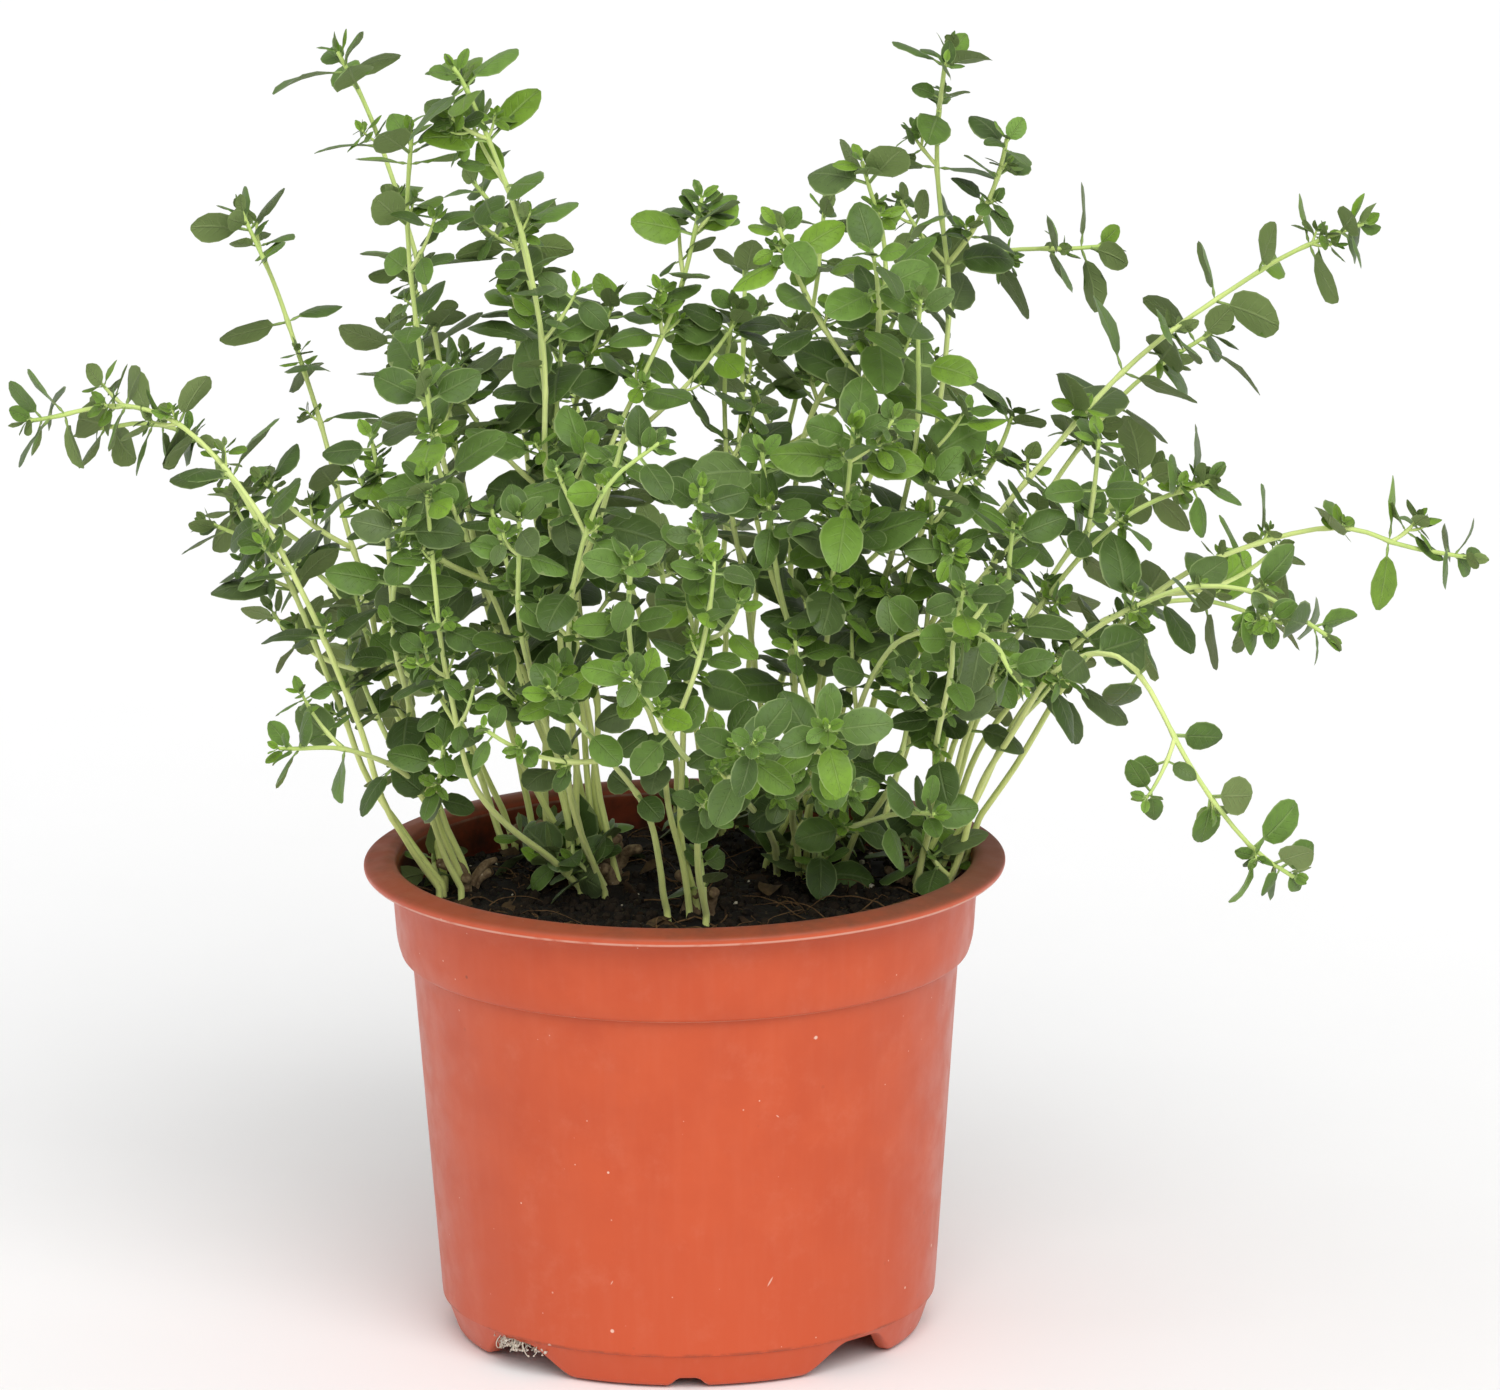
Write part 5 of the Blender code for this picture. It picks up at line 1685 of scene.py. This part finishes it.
@dataclass(frozen=True)
class ThymeStem:
    """A pale downy stem: ribbed and streaked along its length, yellower and then brown at its foot."""

    young: Color = tone(180, 208, 108)
    grown: Color = tone(222, 236, 152)
    foot: Color = tone(226, 236, 142)
    bark: Color = tone(150, 128, 86)
    streak: Color = tone(170, 196, 100)

    def make(self, effects: Effects) -> bpy.types.Material:
        """Makes the material."""
        material, nodes, shader = new_finish("thyme_stem", 0.55, 0.4, sheen=0.25)
        place = nodes.place()
        age = nodes.value("age")
        color = nodes.ramp(age, {0.0: self.young, 0.4: self.grown, 0.95: self.foot, 1.0: self.bark})
        uv = nodes.stretched(nodes.add("TexCoord").outputs["UV"], 0.16, 9.0, 1.0)
        streaks = nodes.noise(uv, 1.0, 3.0, 0.6)
        color = nodes.mix(nodes.step(streaks, 0.45, 0.75, 0.0, 0.55), color, self.streak)
        mottled = effects.mottle(nodes, place, color, self.foot, cell=4.0, contrast=2.5)
        color = nodes.mix(0.3, color, mottled)
        nodes.feed(shader, {"Base Color": color})
        down = nodes.noise(place, 0.18, 2.0)
        height = nodes.plus(nodes.times(down, 0.35), streaks)
        relief(nodes, shader, height, 0.12)
        return material


LOOSE_MATTER = (
    LooseMatter("peat", tone(14, 10, 7), tone(26, 20, 13), 3.0, tone(96, 78, 54), 0.12),
    LooseMatter("peat_crumb", tone(13, 9, 6), tone(42, 32, 20), 1.5, tone(98, 80, 54), 0.12),
    LooseMatter("perlite", tone(206, 200, 184), tone(170, 160, 138), 1.0, tone(120, 104, 80)),
    LooseMatter("bark", tone(32, 22, 14), tone(58, 42, 26), 1.6, tone(100, 78, 52)),
    LooseMatter("fibre", tone(118, 90, 58), tone(76, 56, 34), 2.0, tone(160, 134, 96)),
    LooseMatter("rootlet", tone(216, 211, 200), tone(190, 180, 162), 1.0, tone(150, 136, 112)),
    LooseMatter("woody_crown", tone(148, 128, 98), tone(96, 76, 54), 1.2, tone(198, 184, 158), 0.4),
    LooseMatter("dry_leaf", tone(92, 72, 46), tone(62, 46, 28), 1.6, tone(130, 106, 72), rise=0.12),
)


def make_finishes(pot: Pot) -> Finishes:
    """Makes the shared effects and every material.

    Args:
        pot: The pot, whose heights place the wear of its plastic.

    Returns:
        The materials, by name.
    """
    effects = Effects(mottled_effect(), speck_effect())
    made = [TerracottaPlastic().make(effects, pot), ThymeLeaf().make(effects), ThymeStem().make(effects)]
    made += [matter.make(effects) for matter in LOOSE_MATTER]
    return {material.name: material for material in made}


# Studio


@dataclass(frozen=True)
class Studio:
    """A pale floor, a bright even surround, a large soft light and the camera."""

    object_height: float
    camera_distance: float = 1.949
    camera_height: float = 0.581
    aim_share: float = 0.4765  # height that the camera aims at, as a share of the object's
    lens: float = 251.0
    roll: float = 0.5  # degrees
    floor_radius: float = 9.0
    floor_drop: float = 0.0004
    surround: float = 0.6
    key_strength: float = 2.05
    fill_strength: float = 0.35

    def build(self) -> bpy.types.Object:
        """Makes the lights, the camera and the floor, and returns the floor."""
        scene = bpy.context.scene
        scene.view_settings.view_transform = "Standard"
        world = bpy.data.worlds.new("surround")
        world.use_nodes = True
        surround = world.node_tree.nodes["Background"]
        surround.inputs["Color"].default_value = (1.0, 1.0, 1.0, 1.0)
        surround.inputs["Strength"].default_value = self.surround
        scene.world = world
        self.light("key_light", Vector((0.3, -1.0, 0.92)), 48.0, self.key_strength)
        self.light("fill_light", Vector((-1.0, -0.7, 0.9)), 70.0, self.fill_strength)
        self.camera()
        return self.floor()

    def light(self, name: str, source: Vector, spread: float, strength: float) -> None:
        """Adds a soft, even light from a direction, as wide as the spread, in degrees."""
        lamp = bpy.data.lights.new(name, "SUN")
        lamp.angle = math.radians(spread)
        lamp.energy = strength
        made = bpy.data.objects.new(name, lamp)
        made.location = source
        made.rotation_euler = (-source).to_track_quat("-Z", "Y").to_euler()
        bpy.context.scene.collection.objects.link(made)

    def camera(self) -> None:
        """Adds the camera, in front of the object and a little above it."""
        lens = bpy.data.cameras.new("camera")
        lens.lens = self.lens
        lens.sensor_width = 36.0
        made = bpy.data.objects.new("camera", lens)
        aim = Vector((0.0, 0.0, self.object_height * self.aim_share))
        rise = self.camera_height - aim.z
        back = math.sqrt(self.camera_distance**2 - rise**2)
        made.location = (0.0, -back, self.camera_height)
        turned = (aim - made.location).to_track_quat("-Z", "Y").to_matrix()
        rolled = turned @ Matrix.Rotation(math.radians(-self.roll), 3, "Z")
        made.rotation_euler = rolled.to_euler()
        bpy.context.scene.collection.objects.link(made)
        bpy.context.scene.camera = made

    def floor(self) -> bpy.types.Object:
        """A pale round floor, just under the feet."""
        material, nodes, shader = new_finish("pale_floor", 0.8, 0.2)
        place = nodes.place()
        color = nodes.ramp(nodes.noise(place, 60.0, 2.0), {0.0: (0.93,) * 3, 1.0: (0.95,) * 3})
        nodes.feed(shader, {"Base Color": color})
        around = np.linspace(0.0, 2.0 * math.pi, 96, endpoint=False)
        radius = self.floor_radius / MM
        ring = np.stack([radius * np.cos(around), radius * np.sin(around), 0.0 * around], axis=-1)
        mesh = PieceMesh(np.array([0.0, 0.0, -self.floor_drop / MM]))
        mesh.add_points(ring)
        mesh.add_faces(np.arange(96)[None])
        return mesh.to_object("floor", material)


# The whole potted plant


@dataclass
class PottedThyme:
    """The potted plant: it builds every piece, and ties each to the solid that it stands for."""

    count: int = 0

    def keep(self, piece: bpy.types.Object, node: str) -> None:
        """Ties a finished piece to the body, and hides the solid that it stands for."""
        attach(piece, BODY)
        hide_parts(node)
        self.count += 1
        log.info("%s stands for %s: %d faces", piece.name, node, len(piece.data.polygons))

    def build(self) -> None:
        """Builds the pot, the soil with its loose bits, and every sprig."""
        low, high = (np.array(corner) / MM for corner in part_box("pot"))
        axis = np.array([*(low + high)[:2] / 2, 0.0])
        pot = Pot(axis, lip_radius=float(high[0] - low[0]) / 2, height=float(high[2]))
        finishes = make_finishes(pot)
        self.keep(pot.build(finishes["terracotta_plastic"]), "pot")
        line = SoilLine()
        self.build_soil(axis, line, pot, finishes)
        self.build_sprigs(axis, line, finishes)

    def build_soil(self, axis: Array, line: SoilLine, pot: Pot, finishes: Finishes) -> None:
        """Builds the soil's body and everything loose in it."""
        soil = Soil(axis, line)
        ball, flake = np.ones(3), np.array([1.9, 0.8, 0.45])
        pieces = [
            soil.body(finishes["peat"]),
            soil.lumps("soil_crumbs", 3300, (0.22, 1.25), ball, 0.15, finishes["peat_crumb"]),
            soil.lumps("perlite_grains", 46, (0.2, 0.7), ball, 0.3, finishes["perlite"]),
            soil.lumps("bark_pieces", 110, (0.35, 1.35), flake, 0.25, finishes["bark"]),
            soil.fibres("root_fibres", 120, 48.0, finishes["fibre"]),
            soil.fallen_leaves(26, finishes["dry_leaf"]),
            soil.woody_crowns(finishes["woody_crown"]),
            soil.root_fuzz(pot.lip_radius - pot.foot_top_inset, math.radians(-135.0), finishes["rootlet"]),
        ]
        for piece in pieces:
            self.keep(piece, "potting_soil")

    def build_sprigs(self, axis: Array, line: SoilLine, finishes: Finishes) -> None:
        """Grows every sprig along its route, as two pieces."""
        numbers = dict.fromkeys(Side, 0)
        for index, ((side, _, _), route) in enumerate(zip(SPRIGS, StemPlan(line).routes())):
            numbers[side] += 1
            name = f"{side.value}_{numbers[side]:02d}"
            vigour = LEAF_VIGOUR[side]
            grower = SprigGrower(seed=1000 + index, turn=index * GOLDEN_ANGLE, axis=axis, vigour=vigour)
            grower.grow_main(route, short=2 if side is Side.MIDDLE else 0)
            stems, leaves = grower.pieces(name, finishes)
            self.keep(stems, f"sprig_{name}")
            self.keep(leaves, f"sprig_{name}")


def main() -> None:
    """Loads the frame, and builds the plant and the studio."""
    logging.basicConfig(level=logging.INFO, format="%(message)s")
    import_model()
    solid_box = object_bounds()
    thyme = PottedThyme()
    thyme.build()
    floor = Studio(object_height=solid_box[1].z).build()


if __name__ == "__main__":
    main()
